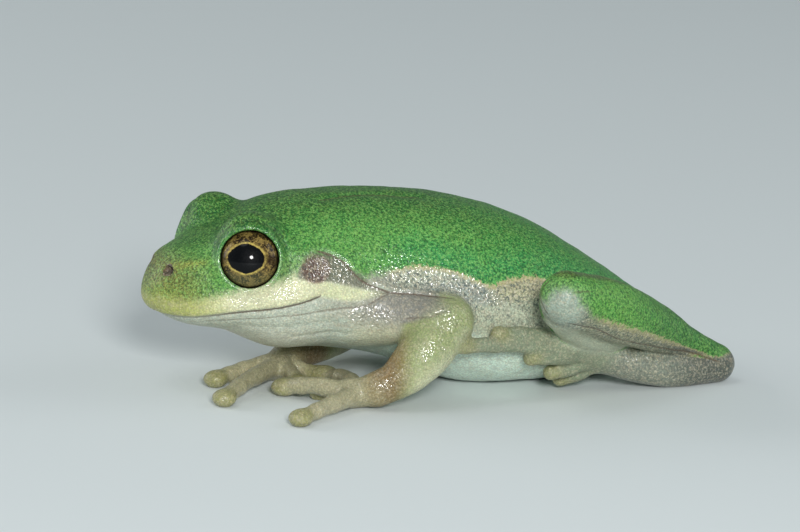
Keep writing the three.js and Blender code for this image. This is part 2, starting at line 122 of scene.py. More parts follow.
# Limb paths: each row is the centre of a ball inside the limb (x, y, z) and its radius.
LIMBS = {
    "left": {
        "upper_arm": ((4.4, 12.6, 5.3, 1.75), (6.2, 14.9, 5.2, 1.45), (7.6, 17.0, 5.0, 1.4)),
        "forearm": (
            (7.6, 17.0, 5.0, 1.4), (8.15, 15.5, 3.5, 1.6), (8.2, 13.95, 2.05, 1.25), (7.8, 12.6, 1.25, 0.9),
        ),
        "hand": ((7.8, 12.6, 1.2, 0.9), (7.0, 11.2, 0.85, 0.9)),
        "finger": (
            ((6.5, 11.6, 0.75, 0.5), (5.4, 10.7, 0.55, 0.42), (4.6, 10.1, 0.42, 0.42)),
            ((6.5, 11.9, 0.95, 0.55), (3.8, 12.3, 0.95, 0.48), (0.8, 12.2, 0.5, 0.45)),
            ((6.9, 10.9, 0.95, 0.62), (5.3, 9.5, 1.05, 0.52), (3.3, 8.3, 0.55, 0.5)),
            ((7.7, 10.9, 0.85, 0.6), (9.3, 8.6, 0.7, 0.5), (10.6, 6.5, 0.48, 0.45)),
        ),
        "thigh": ((3.2, 30.6, 3.2, 2.3), (7.0, 27.0, 4.7, 2.2), (10.4, 23.4, 6.3, 1.5)),
        "shank": (
            (11.4, 23.05, 7.05, 1.65), (9.5, 26.9, 5.7, 1.85), (7.6, 31.0, 3.95, 1.45),
            (6.8, 33.4, 2.8, 1.0), (6.1, 36.0, 1.5, 0.85),
        ),
        "tarsus": (
            (6.1, 36.0, 1.1, 1.15), (6.6, 32.8, 1.15, 1.2), (6.6, 30.2, 1.6, 1.2), (6.4, 28.0, 2.2, 1.05),
        ),
        "foot": ((6.4, 28.0, 2.2, 1.05), (7.4, 25.2, 3.1, 0.9)),
        "toe": (
            ((6.4, 27.4, 1.6, 0.55), (6.1, 26.4, 1.0, 0.48), (5.8, 25.5, 0.7, 0.42)),
            ((6.9, 26.5, 1.9, 0.55), (7.0, 25.4, 1.6, 0.48), (7.0, 24.3, 1.4, 0.42)),
            ((7.5, 25.0, 2.5, 0.55), (7.8, 23.8, 2.6, 0.48), (7.9, 22.5, 2.6, 0.42)),
            ((7.7, 25.0, 3.0, 0.6), (8.2, 21.2, 3.6, 0.5), (8.6, 17.8, 3.75, 0.45)),
            ((7.5, 25.2, 3.3, 0.55), (7.9, 22.6, 4.0, 0.48), (8.1, 20.2, 4.3, 0.42)),
        ),
    },
    "right": {
        "upper_arm": ((-4.4, 12.6, 5.0, 1.7), (-5.6, 14.8, 3.5, 1.45), (-5.6, 16.2, 2.3, 1.4)),
        "forearm": (
            (-5.6, 16.2, 2.1, 1.4), (-4.6, 14.4, 1.6, 1.35), (-3.2, 12.4, 1.3, 1.15), (-1.9, 10.7, 1.1, 0.9),
        ),
        "hand": ((-1.9, 10.7, 1.1, 0.9), (-0.8, 9.3, 0.8, 0.88)),
        "finger": (
            ((-1.2, 10.4, 0.75, 0.5), (-0.4, 11.1, 0.6, 0.45), (0.4, 11.8, 0.45, 0.42)),
            ((-0.6, 9.8, 0.8, 0.55), (1.0, 9.8, 0.7, 0.48), (2.6, 9.6, 0.5, 0.45)),
            ((-0.2, 8.9, 0.85, 0.6), (2.1, 6.5, 0.8, 0.52), (4.9, 3.9, 0.5, 0.48)),
            ((-1.1, 8.6, 0.85, 0.6), (-0.5, 6.8, 0.7, 0.5), (0.2, 5.1, 0.5, 0.45)),
        ),
        "thigh": ((-3.2, 30.6, 2.6, 2.1), (-7.2, 27.0, 3.6, 2.2), (-10.6, 23.0, 4.8, 1.5)),
        "shank": (
            (-11.6, 22.4, 5.1, 1.65), (-10.2, 26.4, 4.2, 1.75), (-8.6, 31.0, 2.9, 1.3),
            (-7.4, 34.6, 1.6, 0.85),
        ),
        "tarsus": ((-7.4, 34.7, 1.05, 1.15), (-8.9, 31.8, 1.05, 1.15), (-10.2, 28.0, 1.0, 1.05)),
        "foot": ((-10.2, 28.0, 1.0, 1.05), (-11.0, 24.9, 0.85, 0.9)),
        "toe": (
            ((-10.1, 26.4, 0.85, 0.55), (-9.4, 24.6, 0.65, 0.48), (-8.9, 22.9, 0.5, 0.42)),
            ((-10.5, 25.2, 0.85, 0.55), (-10.0, 22.8, 0.65, 0.48), (-9.7, 20.6, 0.5, 0.42)),
            ((-10.9, 24.8, 0.85, 0.55), (-11.0, 21.4, 0.65, 0.48), (-11.1, 18.0, 0.5, 0.45)),
            ((-11.2, 24.8, 0.85, 0.6), (-12.2, 20.4, 0.65, 0.5), (-13.0, 16.2, 0.5, 0.45)),
            ((-11.5, 25.2, 0.85, 0.55), (-13.2, 22.4, 0.65, 0.48), (-14.6, 19.8, 0.5, 0.42)),
        ),
    },
}

# ---- sizes of what the skin adds
ORBIT_SINK = 0.3  # how much deeper the lids' ball lies than the eyeball
LID_RIM = 1.83  # radius of the raised edge of the lids
LID_RIM_REACH = 2.06  # how far from the middle of the eye that edge lies
LID_RIM_GIRTH = 0.16
LID_RIM_BLEND = 0.24
LID_CREASE = 2.28  # radius of the crease above the upper lid
LID_CREASE_DEPTH = 0.13
LID_CREASE_WIDTH = 0.15
LID_EDGE = 0.2  # how round the lids are at the opening
SOCKET_EDGE = 0.04  # the same where they lie on the eyeball
EYE_CLEARANCE = 0.03  # between the eyeball and the lids

NOSTRIL = (1.42, 1.45, 7.68)
NOSTRIL_RADII = (0.42, 0.34, 0.24)
NOSTRIL_EDGE = 0.12  # how round its edge is
NOSTRIL_RIM = 0.06  # height of the swelling round it
NOSTRIL_RIM_WIDTH = 0.55
TYMPANUM = (5.28, 9.32, 8.2)
TYMPANUM_AXIS = unit(0.93, -0.15, 0.34)
TYMPANUM_RADIUS = 0.86
TYMPANUM_RING = 0.045  # height of the ring round it
TYMPANUM_RING_WIDTH = 0.14
TYMPANUM_DEPTH = 0.05
TYMPANUM_SLOPE = 0.3  # over what width it sinks in

# The line between the lips, as y and height, up to its corner
MOUTH = (
    (-0.5, 4.8), (0.4, 4.85), (1.5, 4.93), (2.4, 5.05), (3.4, 5.3), (4.6, 5.52), (5.5, 5.64), (6.4, 5.74),
    (7.2, 5.87), (7.9, 6.03), (8.5, 6.18), (9.1, 6.39), (9.4, 6.54), (9.6, 6.71), (10.5, 7.6),
)
MOUTH_CORNER = 9.6
LIP_GROOVE = 0.14  # depth of the groove between the lips
LIP_GROOVE_WIDTH = 0.10
LIP_SETBACK = 0.12  # how far the lower lip lies behind the upper one
LIP_SWELL = 0.05  # how much the upper lip swells
LIP_SWELL_HEIGHT = 0.45  # how far over the groove it is fullest
LIP_SWELL_WIDTH = 0.35

CANTHUS = ((1.5, 1.5, 7.85), (2.35, 2.35, 8.2), (3.1, 3.1, 8.5))  # from the nostril to the eye
BOTH = (1, -1)
LEFT = (1,)
# Folds: the line on the left, half its width, its height over the skin, how dark the shade painted
# along it is, and the sides that have it. The height is below zero in a groove.
FOLDS = (
    # the ridge over the eardrum, and the line below it that runs on to the shoulder
    (((4.95, 8.6, 9.2), (4.85, 9.5, 9.45), (5.05, 10.4, 9.2), (5.4, 11.2, 8.6), (5.75, 12.0, 7.85),
      (6.05, 12.8, 7.35), (6.2, 13.5, 7.1)), 0.26, 0.14, 0, BOTH),
    (((5.05, 9.6, 9.2), (5.12, 10.15, 9.03), (5.33, 10.63, 8.78), (5.55, 11.12, 8.45), (5.74, 11.54, 7.94),
      (5.98, 12.12, 7.42), (6.26, 12.88, 7.08), (6.45, 13.57, 6.85)), 0.12, -0.13, 1.0, BOTH),
    (((6.45, 13.57, 6.85), (6.62, 14.21, 6.76), (6.95, 15.57, 6.66), (7.36, 16.48, 6.6), (7.8, 17.1, 6.4)),
     0.12, -0.12, 0.9, LEFT),
    (((6.2, 13.1, 7.2), (6.5, 14.2, 7.05), (6.9, 15.5, 6.95), (7.2, 16.6, 6.85)), 0.12, 0.12, 0, LEFT),
    # the ridge at the edge of the green, and a lower one beside it
    (((5.9, 14.2, 8.09), (5.96, 15.1, 8.18), (6.01, 15.78, 8.19), (6.13, 16.45, 8.15), (6.38, 17.69, 7.92),
      (6.62, 18.78, 7.52), (6.85, 19.79, 7.05), (6.95, 20.35, 6.73), (7.11, 20.8, 6.27), (7.21, 21.2, 5.88),
      (7.29, 21.78, 5.47), (7.31, 22.27, 4.98)), 0.2, 0.16, 0, BOTH),
    (((6.0, 15.0, 7.5), (6.21, 16.37, 7.5), (6.45, 17.3, 7.25), (6.75, 18.3, 6.85), (6.94, 19.19, 6.35),
      (7.07, 19.9, 5.9)), 0.2, 0.11, 0, BOTH),
    # from the lower jaw to the shoulder
    (((3.3, 3.2, 4.85), (4.2, 4.88, 5.1), (4.68, 6.09, 5.2), (5.08, 7.21, 5.35), (5.34, 8.29, 5.45),
      (5.71, 9.65, 5.69), (6.05, 10.99, 5.89), (6.39, 12.01, 5.98), (6.52, 12.84, 6.39), (6.49, 13.55, 6.75)),
     0.13, -0.13, 0.6, BOTH),
    (((4.1, 5.2, 4.4), (4.9, 7.2, 4.6), (5.4, 9.2, 4.9), (5.8, 11.2, 5.0)), 0.16, -0.10, 0, BOTH),
    (((4.9, 8.2, 3.6), (5.5, 10.0, 3.9), (5.9, 11.6, 4.2)), 0.16, -0.08, 0, BOTH),
    # from the nostril to the eye, and the hollow below it
    (CANTHUS, 0.35, 0.12, 0, BOTH),
    (((2.5, 2.0, 7.1), (3.6, 3.2, 7.4)), 0.5, -0.14, 0, BOTH),
    # behind the eye, and along the back beside its middle
    (((5.3, 7.9, 8.9), (5.4, 7.75, 8.2), (5.5, 7.4, 7.3)), 0.18, -0.14, 0, BOTH),
    (((1.7, 11.0, 11.6), (1.45, 12.6, 11.7), (1.35, 14.5, 11.7), (1.5, 17.5, 11.5)), 0.4, -0.15, 0.7, BOTH),
    # behind the arm pit, in the bend of the elbow and between shank and tarsus
    (((7.0, 19.0, 6.2), (7.2, 20.2, 4.8), (7.3, 20.9, 3.4)), 0.2, -0.12, 0, BOTH),
    (((7.5, 14.3, 5.4), (7.73, 14.64, 5.46), (8.1, 15.13, 5.5), (8.43, 15.57, 5.6), (8.61, 16.06, 5.89)),
     0.12, -0.10, 0.5, LEFT),
    (((12.8, 22.9, 7.7), (12.55, 23.9, 7.64)), 0.1, -0.05, 0.5, LEFT),
    (((11.3, 21.8, 8.0), (10.97, 21.44, 7.15), (11.53, 21.34, 6.73), (11.81, 21.52, 6.24)),
     0.1, -0.05, 0.9, LEFT),
    (((12.36, 22.83, 5.57), (11.7, 25.0, 5.07), (10.54, 26.87, 4.16), (9.63, 28.74, 3.54),
      (8.52, 31.14, 2.85), (7.65, 33.44, 2.28), (7.28, 35.45, 1.58)), 0.12, -0.10, 0.8, LEFT),
)

# How softly each kind of limb runs into what was there before it.
LIMB_BLEND = {
    "thigh": 1.0, "shank": 0.25, "tarsus": 0.25, "foot": 0.5,
    "upper_arm": 1.3, "forearm": 0.8, "hand": 0.6,
}
DIGIT_BLEND = 0.35
PAD_BLEND = 0.3
RAISED_DISC = 0.42  # half the width of a pad on the foot that is off the floor
RAISED_DISC_HEIGHT = 0.36  # half its thickness
KNUCKLE_PLACES = (0.36, 0.7)  # along a digit, as shares of its length
KNUCKLE = -0.08  # what a joint's ball has over the digit's own radius: it swells by the blend alone
KNUCKLE_BLEND = 0.3
WEB_START = 0.05  # where along the toes the web starts and ends, as shares of their length
WEB_REACH = 0.55
WEB_GIRTH = 0.17  # half its thickness
WEB_HEIGHT = 0.375  # of its middle, on the foot that is on the floor
WEB_SAG = 0.3  # how far its edge hangs back between two toes, as a share of its reach
WEB_RODS = 9  # how many rods, from toe to toe, make up its sheet
WEB_BLEND = 0.22

# Where the sample points of the skin lie: stops along each axis, with the spacing there
LATTICE_X = ((-15.6, 0.13), (-7, 0.09), (7, 0.085), (13.8, 0.11))
LATTICE_Y = ((-0.2, 0.075), (12, 0.085), (20, 0.11), (38, 0.14))
LATTICE_Z = ((-0.4, 0.085), (12.6, 0.085))
SMOOTHING = 4  # how often the points of the skin are drawn towards their neighbours
BOX_EDGE = 0.15  # how far inside the CAD model's box the skin starts to be held back


def placed(points):
    """Points in millimetres, in the CAD source's frame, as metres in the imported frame."""
    middle = np.mean([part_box("eye_left"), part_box("eye_right")], axis=(0, 1))
    shift = (middle[0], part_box("head")[0][1] - SNOUT * MM, 0)
    return np.asarray(points) * MM + shift


# ---- fields of distances
def blend(a, b, width):
    """Smooth union of two distances."""
    h = np.maximum(width - np.abs(a - b), 0) / width
    return np.minimum(a, b) - h * h * width / 4


def carve(a, b, width):
    """The first shape without the second, with a rounded edge."""
    return -blend(-a, b, width)


def rounded(u):
    return np.sqrt(np.maximum(0, 1 - (1 - np.clip(u, 0, 1)) ** 2))


def smooth(u):
    """0 below 0, 1 above 1 and an S curve between."""
    u = np.clip(u, 0, 1)
    return u * u * (3 - 2 * u)


def past(value, start, width):
    """0 up to start, and 1 from a width beyond it."""
    return smooth((value - start) / width)


def before(value, end, width):
    """1 until a width before end, and 0 beyond it."""
    return smooth((end - value) / width)


def bell(distance, width):
    """1 at no distance, and falling off over that width to either side."""
    return np.exp(-(distance / width) ** 2)


def ball(p, centre, radius):
    return np.sqrt(sum((q - c) ** 2 for q, c in zip(p, centre))) - radius


def ellipsoid(p, centre, radii):
    offset = [q - c for q, c in zip(p, centre)]
    inner = np.sqrt(sum((o / r) ** 2 for o, r in zip(offset, radii)))
    outer = np.sqrt(sum((o / r ** 2) ** 2 for o, r in zip(offset, radii)))
    return inner * (inner - 1) / np.maximum(outer, 1e-6)


def cone(p, a, b):
    """Distance to two balls (x, y, z, radius) and the cone that joins them."""
    axis = [float(b[i] - a[i]) for i in range(3)]
    length2 = sum(v * v for v in axis)
    narrowing = float(a[3] - b[3])
    slant2 = length2 - narrowing ** 2
    offset = [p[i] - a[i] for i in range(3)]
    along = sum(o * v for o, v in zip(offset, axis))
    beyond = along - length2
    across2 = sum((o * length2 - along * v) ** 2 for o, v in zip(offset, axis))
    near2 = along * along * length2
    far2 = beyond * beyond * length2
    turn = math.copysign(narrowing ** 2, narrowing) * across2
    at_b = np.sqrt(across2 + far2) / length2 - b[3]
    at_a = np.sqrt(across2 + near2) / length2 - a[3]
    side = (np.sqrt(across2 * slant2 / length2) + along * narrowing) / length2 - a[3]
    middle = np.where(np.sign(along) * slant2 * near2 < turn, at_a, side)
    return np.where(np.sign(beyond) * slant2 * far2 > turn, at_b, middle)


def resampled(path, steps):
    """A smooth curve through the rows of a path, with so many steps between two of them."""
    p = np.array(path, float)
    p = np.vstack((2 * p[0] - p[1], p, 2 * p[-1] - p[-2]))
    t = (np.arange(steps) / steps)[:, None]
    rows = []
    for a, b, c, d in zip(p, p[1:], p[2:], p[3:]):
        rows.append(0.5 * (2 * b + (c - a) * t + (2 * a - 5 * b + 4 * c - d) * t ** 2
                           + (3 * b - a - 3 * c + d) * t ** 3))
    rows.append(p[-2:-1])
    return np.vstack(rows)


def limb(p, path, steps=9):
    rows = resampled(path, steps)
    distance = None
    for a, b in zip(rows, rows[1:]):
        piece = cone(p, a, b)
        distance = piece if distance is None else np.minimum(distance, piece)
    return distance


def section_at(y):
    """The sizes of the trunk's section at each y, by a cubic curve through SECTIONS."""
    ys, sizes = SECTIONS[:, 0], SECTIONS[:, 1:]
    slopes = np.empty_like(sizes)
    slopes[1:-1] = (sizes[2:] - sizes[:-2]) / (ys[2:] - ys[:-2])[:, None]
    slopes[0] = (sizes[1] - sizes[0]) / (ys[1] - ys[0])
    slopes[-1] = (sizes[-1] - sizes[-2]) / (ys[-1] - ys[-2])
    i = np.clip(np.searchsorted(ys, y, side="right") - 1, 0, len(ys) - 2)
    step = (ys[i + 1] - ys[i])[..., None]
    t = (y - ys[i])[..., None] / step
    value = ((2 * t ** 3 - 3 * t ** 2 + 1) * sizes[i] + (t ** 3 - 2 * t ** 2 + t) * step * slopes[i]
             + (3 * t ** 2 - 2 * t ** 3) * sizes[i + 1] + (t ** 3 - t ** 2) * step * slopes[i + 1])
    back, belly, half, waist, upper, lower = np.moveaxis(value, -1, 0)
    tail = rounded((VENT - y) / RUMP)
    above = (back - waist) * rounded((y - SNOUT) / NOSE_TOP) * tail
    below = (waist - belly) * rounded((y - SNOUT) / NOSE_CHIN) * tail
    half = half * rounded((y - SNOUT) / NOSE_SIDE) * tail
    return above, below, half, waist, upper, lower


def trunk(p):
    x, y, z = p
    above, below, half, waist, upper, lower = section_at(np.clip(y, SNOUT + 0.02, VENT - 0.02))
    up = z > waist
    height = np.maximum(np.where(up, above, below), 0.05)
    half = np.maximum(half, 0.05)
    power = np.where(up, upper, lower)
    across = np.abs(x) / half
    along = np.abs(z - waist) / height
    reach = np.maximum(across ** power + along ** power, 1e-6) ** (1 / power)
    slope = np.hypot((across / reach) ** (power - 1) / half, (along / reach) ** (power - 1) / height)
    distance = (reach - 1) / np.maximum(slope, 1e-3)
    over = np.maximum(SNOUT - y, y - VENT)
    outside = np.sqrt(np.maximum(distance, 0) ** 2 + np.maximum(over, 0) ** 2)
    return np.where(over > 0, outside, distance)


def mirrored(p, side):
    """The points as the left side sees them: side is 1 for the left and -1 for the right."""
    return p[0] * side, p[1], p[2]


def eye_bulge(p):
    return blend(ellipsoid(p, LID, LID_RADII), ball(p, EYE - ORBIT_SINK * EYE_AXIS, ORBIT), ORBIT_BLEND)


def seen_along(p, centre, axis):
    """How far a point is along the line through a centre, and how far off that line."""
    offset = [q - c for q, c in zip(p, centre)]
    along = sum(o * a for o, a in zip(offset, axis))
    off = np.sqrt(np.maximum(sum(o * o for o in offset) - along * along, 0))
    return along, off


def open_eye(p, field):
    """Raises the edge of the lids, and carves the eyeball's place and the opening."""
    along, off = seen_along(p, EYE, EYE_AXIS)
    rim_place = math.sqrt(LID_RIM_REACH ** 2 - LID_RIM ** 2)
    rim = np.hypot(off - LID_RIM, along - rim_place) - LID_RIM_GIRTH
    field = blend(field, rim, LID_RIM_BLEND)
    upper = smooth((p[2] - EYE[2] + 0.3) / 1.2) * smooth(along / 0.5)
    field = field + LID_CREASE_DEPTH * bell(off - LID_CREASE, LID_CREASE_WIDTH) * upper
    opening = np.maximum(off - EYE_OPENING, -along)
    field = carve(field, opening, LID_EDGE)
    return carve(field, ball(p, EYE, EYE_RADIUS + EYE_CLEARANCE), SOCKET_EDGE)


def pierce_nostril(p, field):
    field = field - NOSTRIL_RIM * bell(ball(p, NOSTRIL, 0), NOSTRIL_RIM_WIDTH)
    return carve(field, ellipsoid(p, NOSTRIL, NOSTRIL_RADII), NOSTRIL_EDGE)


MOUTH_ROWS = resampled(MOUTH, 4)


def mouth_height(y):
    return np.interp(y, MOUTH_ROWS[:, 0], MOUTH_ROWS[:, 1])


def part_lips(p, field):
    """A groove between the lips, with the lower lip set back under the upper one."""
    _, y, z = p
    over = z - mouth_height(y)
    shown = before(y, MOUTH_CORNER, 0.3)
    groove = LIP_GROOVE * bell(over, LIP_GROOVE_WIDTH)
    setback = LIP_SETBACK * smooth(0.5 - over / 0.3) * smooth((over + 2.2) / 2.0)
    lip = LIP_SWELL * bell(over - LIP_SWELL_HEIGHT, LIP_SWELL_WIDTH)
    return field + (groove + setback - lip) * shown


def sink_eardrum(p, field):
    """A flat membrane with a low ring round it."""
    _, off = seen_along(p, TYMPANUM, TYMPANUM_AXIS)
    ring = TYMPANUM_RING * bell(off - TYMPANUM_RADIUS, TYMPANUM_RING_WIDTH)
    bowl = TYMPANUM_DEPTH * before(off, TYMPANUM_RADIUS, TYMPANUM_SLOPE)
    return field - ring + bowl


class Lattice:
    """Sample points in rows along X, Y and Z, and the distance to the skin at each of them."""

    def __init__(self, xs, ys, zs):
        self.axes = [np.asarray(a, np.float32) for a in (xs, ys, zs)]
        x, y, z = self.axes
        self.field = trunk((x[:, None, None], y[None, :, None], z[None, None, :])).astype(np.float32)

    def window(self, low, high):
        """Slices of the lattice inside a box, and the coordinates of the points there."""
        cuts = []
        for axis, a, b in zip(self.axes, low, high):
            cuts.append(slice(*np.searchsorted(axis, (a, b))))
        x, y, z = (axis[cut] for axis, cut in zip(self.axes, cuts))
        return tuple(cuts), (x[:, None, None], y[None, :, None], z[None, None, :])

    def change(self, low, high, rule):
        """Replaces the distances inside a box by rule(points, distances)."""
        cuts, p = self.window(low, high)
        self.field[cuts] = rule(p, self.field[cuts])

    def read(self, points):
        """The distance at any points, from the eight samples round each."""
        places = [np.interp(points[:, k], a, np.arange(len(a))) for k, a in enumerate(self.axes)]
        lows = [np.clip(np.floor(q).astype(int), 0, len(a) - 2) for q, a in zip(places, self.axes)]
        total = np.zeros(len(points))
        for corner in np.ndindex(2, 2, 2):
            weight = 1.0
            for q, low, c in zip(places, lows, corner):
                weight = weight * (q - low if c else 1 - q + low)
            total += weight * self.field[tuple(low + c for low, c in zip(lows, corner))]
        return total

    def settled(self, points, passes=6, step=0.1):
        """The points moved straight to the skin."""
        points = np.array(points, float)
        steps = np.eye(3) * step
        for _ in range(passes):
            rises = [self.read(points + d) - self.read(points - d) for d in steps]
            slope = np.stack(rises, axis=1) / (2 * step)
            gentle = np.maximum((slope ** 2).sum(1), 0.2)
            points -= slope * (self.read(points) / gentle)[:, None]
        return points

    def surface(self):
        """Points of the zero surface, and its faces as rows of four corners."""
        grid = openvdb.FloatGrid(1.0)
        grid.copyFromArray(self.field)
        points, _, quads = grid.convertToPolygons(0.0)
        corners = [np.interp(points[:, k], np.arange(len(a)), a) for k, a in enumerate(self.axes)]
        return np.stack(corners, axis=1), quads.astype(np.int64)


def spaced(stops):
    """Coordinates from the first stop to the last, whose spacing changes evenly between two stops."""
    places = [stops[0][0]]
    while places[-1] < stops[-1][0]:
        gap = np.interp(places[-1], [s[0] for s in stops], [s[1] for s in stops])
        places.append(places[-1] + gap)
    return places


def add_limb(lattice, path, width):
    rows = np.array(path)
    reach = rows[:, 3].max() + width + 0.5  # the box is a little larger than the change in it
    low, high = rows[:, :3].min(0) - reach, rows[:, :3].max(0) + reach
    lattice.change(low, high, lambda p, field: blend(field, limb(p, path), width))


def along_path(path, share):
    """The ball at a share of a path's length, taking its rows as evenly spaced."""
    rows = np.array(path)
    place = share * (len(rows) - 1)
    return np.array([np.interp(place, range(len(rows)), column) for column in rows.T])


def add_digit(lattice, path, half_width, upright):
    """A toe or finger with its joints, and a pad that stands upright or lies flat."""
    rows = np.array(path)
    tip = rows[-1, :3]
    radii = (half_width, half_width, DISC_HEIGHT)
    if upright:
        radii = (RAISED_DISC_HEIGHT, half_width, half_width)

    def rule(p, field):
        digit = limb(p, path)
        for share in KNUCKLE_PLACES:
            *centre, radius = along_path(path, share)
            digit = blend(digit, ball(p, centre, radius + KNUCKLE), KNUCKLE_BLEND)
        digit = blend(digit, ellipsoid(p, tip, radii), PAD_BLEND)
        return blend(field, digit, DIGIT_BLEND)

    margin = 1.6
    lattice.change(rows[:, :3].min(0) - margin, rows[:, :3].max(0) + margin, rule)


def add_web(lattice, path, following, flat):
    """A thin sheet between two toes, as rods from one to the other that hang back in the middle."""
    rods = []
    for share in np.linspace(WEB_START, WEB_REACH, WEB_RODS):
        ends = [along_path(toe, share) for toe in (path, following)]
        roots = [along_path(toe, share * (1 - WEB_SAG)) for toe in (path, following)]
        rod = np.array((ends[0], (roots[0] + roots[1]) / 2, ends[1]))
        rod[:, 3] = WEB_GIRTH
        if flat:
            rod[:, 2] = WEB_HEIGHT
        rods.append(rod)
    corners = np.vstack(rods)[:, :3]

    def rule(p, field):
        sheet = np.minimum.reduce([limb(p, rod, 3) for rod in rods])
        return blend(field, sheet, WEB_BLEND)

    margin = 0.6
    lattice.change(corners.min(0) - margin, corners.max(0) + margin, rule)


def change_both(lattice, low, high, rule):
    """Applies a rule to the left side's box, and to its mirror image on the right."""
    lattice.change(low, high, rule)
    mirror_low, mirror_high = (-high[0], *low[1:]), (-low[0], *high[1:])
    lattice.change(mirror_low, mirror_high, lambda p, field: rule(mirrored(p, -1), field))


def add_folds(lattice):
    """Raises and presses in the folds. Returns the lines of painted crease shade where they then lie, with
    their darkness.
    """
    shaded_creases = []
    for path, half_width, height, darkness, sides in FOLDS:
        for side in sides:
            line = lattice.settled(resampled(path, 3) * (side, 1, 1))
            rows = np.hstack((line, np.zeros((len(line), 1))))
            margin = 3 * half_width

            def rule(p, field):
                return field - height * bell(limb(p, rows, 1), half_width)

            lattice.change(line.min(0) - margin, line.max(0) + margin, rule)
            if darkness:
                shaded_creases.append((lattice.settled(line), darkness))
    return shaded_creases


def shape_head(lattice):
    lattice.change((-8, -1, 2), (8, 10, 8), part_lips)
    change_both(lattice, (4, 7.5, 6.5), (7, 11, 10), sink_eardrum)
    change_both(lattice, (0.3, 0, 6), (3, 3, 9), pierce_nostril)
    change_both(lattice, (0.5, 2, 5), (7, 9.5, 12), open_eye)


def add_limbs(lattice, limbs, raised):
    """The legs and arms of one side. A raised foot has smaller, upright pads, and its web is not flat."""
    for bone, width in LIMB_BLEND.items():
        add_limb(lattice, limbs[bone], width)
    for i, path in enumerate(limbs["finger"]):
        add_digit(lattice, path, SMALL_DISC if i == 0 else DISC, False)
    for path in limbs["toe"]:
        add_digit(lattice, path, RAISED_DISC if raised else TOE_DISC, raised)
    for path, following in zip(limbs["toe"], limbs["toe"][1:]):
        add_web(lattice, path, following, not raised)


def build_field():
    """The lattice of the whole skin, and the lines of shade painted in its creases."""
    lattice = Lattice(spaced(LATTICE_X), spaced(LATTICE_Y), spaced(LATTICE_Z))
    change_both(lattice, (0, 1, 4), (8, 11, 13), lambda p, field: blend(field, eye_bulge(p), LID_BLEND))
    for side, limbs in LIMBS.items():
        add_limbs(lattice, limbs, side == "left")
    shaded_creases = add_folds(lattice)
    shape_head(lattice)
    floor = lattice.axes[2][None, None, :]
    lattice.field = np.maximum(lattice.field, -floor)
    return lattice, shaded_creases


# ---- markings
# Height of the lower edge of the green at each y. It dips under the eye, goes over the eardrum
# and the patch behind it, and ends low on the rump.
GREEN_EDGE = (
    (0.0, 5.9), (0.8, 6.1), (2.6, 6.2), (4.3, 6.75), (6.2, 7.3), (7.6, 7.55), (8.25, 8.0), (8.6, 8.7),
    (9.3, 9.1), (10.2, 9.05), (11.0, 8.65), (11.7, 7.95), (12.3, 7.7), (13.4, 7.85), (14.2, 8.05),
    (15.1, 8.18), (15.8, 8.19), (16.4, 8.15), (17.7, 7.92), (18.8, 7.52), (19.8, 7.05), (20.3, 6.95),
    (21.0, 7.2), (22.5, 7.3), (23.4, 7.2), (25.0, 6.9), (28.0, 5.9), (31.0, 4.7), (34.0, 3.4), (37.0, 2.6),
)
# Upper and lower edge of the pale stripe that runs from the lip to the shoulder
STRIPE_TOP = ((8.2, 7.6), (10.1, 7.45), (11.3, 7.2), (12.8, 6.85), (13.6, 6.7))
STRIPE_LOW = ((9.5, 6.6), (10.7, 6.35), (11.6, 6.3), (12.7, 6.5), (13.6, 6.7))

# Colours as the eye reads them, 0 to 255
BACK_GREEN = (96, 170, 78)
# painted shade on the top of the head
CROWN_SHADE_GREEN = (14, 92, 10)
RUMP_GREEN = (48, 146, 58)
EDGE_GREEN = (50, 162, 84)
CHEEK_GREEN = (120, 146, 94)
SNOUT_OLIVE = (132, 118, 58)
SNOUT_GOLD = (166, 174, 80)
LID_GREEN = (2, 98, 24)
RIM_MINT = (150, 196, 134)
# painted shade where the skin faces up
UPWARD_SHADE_GREEN = (36, 94, 28)
# painted shade in the crease over the upper lid
LID_CREASE_SHADE = (16, 62, 28)
NOSTRIL_BROWN = (98, 72, 44)
# painted shade deep in the nostril's pit
NOSTRIL_PIT_SHADE = (36, 18, 14)
LIP_CREAM = (224, 226, 182)
STRIPE_CREAM = (214, 220, 172)
DRUM_MAROON = (84, 48, 34)
PATCH_BROWN = (102, 108, 88)
THROAT_GREY = (186, 196, 178)
# painted light from below on the lower throat
THROAT_LIT_FROM_BELOW = (224, 226, 206)
CHEST_GREY = (166, 170, 152)
FLANK_GREY = (194, 204, 178)
BELLY_WHITE = (228, 250, 232)
ARM_PIT_GREY = (150, 160, 156)
SPOTTED_GOLD = (186, 182, 140)
UPPER_ARM = (130, 130, 122)
FOREARM_OLIVE = (152, 166, 108)
# painted light from below on the arms' undersides
ARM_LIT_FROM_BELOW = (222, 224, 188)
WRIST_TAN = (126, 102, 54)
FOREARM_RUST = (168, 128, 84)
HAND_TAN = (172, 168, 132)
PAD_TAN = (146, 146, 86)
TOE_TAN = (148, 150, 100)
SHANK_GREEN = (94, 168, 66)
SHANK_REAR_GREEN = (44, 122, 44)
# partly the shank's own reddish brown, partly painted shade along its top
SHANK_TOP_BROWN_AND_SHADE = (84, 84, 34)
KNEE_GREY = (156, 174, 158)
SHANK_GREY = (140, 148, 116)
TARSUS_GREY = (128, 138, 122)
HEEL_GREY = (60, 72, 64)
FOOT_GREY = (130, 144, 116)
RIDGE_GOLD = (192, 184, 84)


def linear(colour):
    """Colours as the eye reads them, 0 to 255, as amounts of light."""
    c = np.asarray(colour, float) / 255
    return np.where(c <= 0.04045, c / 12.92, ((c + 0.055) / 1.055) ** 2.4)


def toward(colours, target, weight):
    """Colours moved towards one colour, point by point."""
    return colours + (np.asarray(target) - colours) * np.asarray(weight)[:, None]


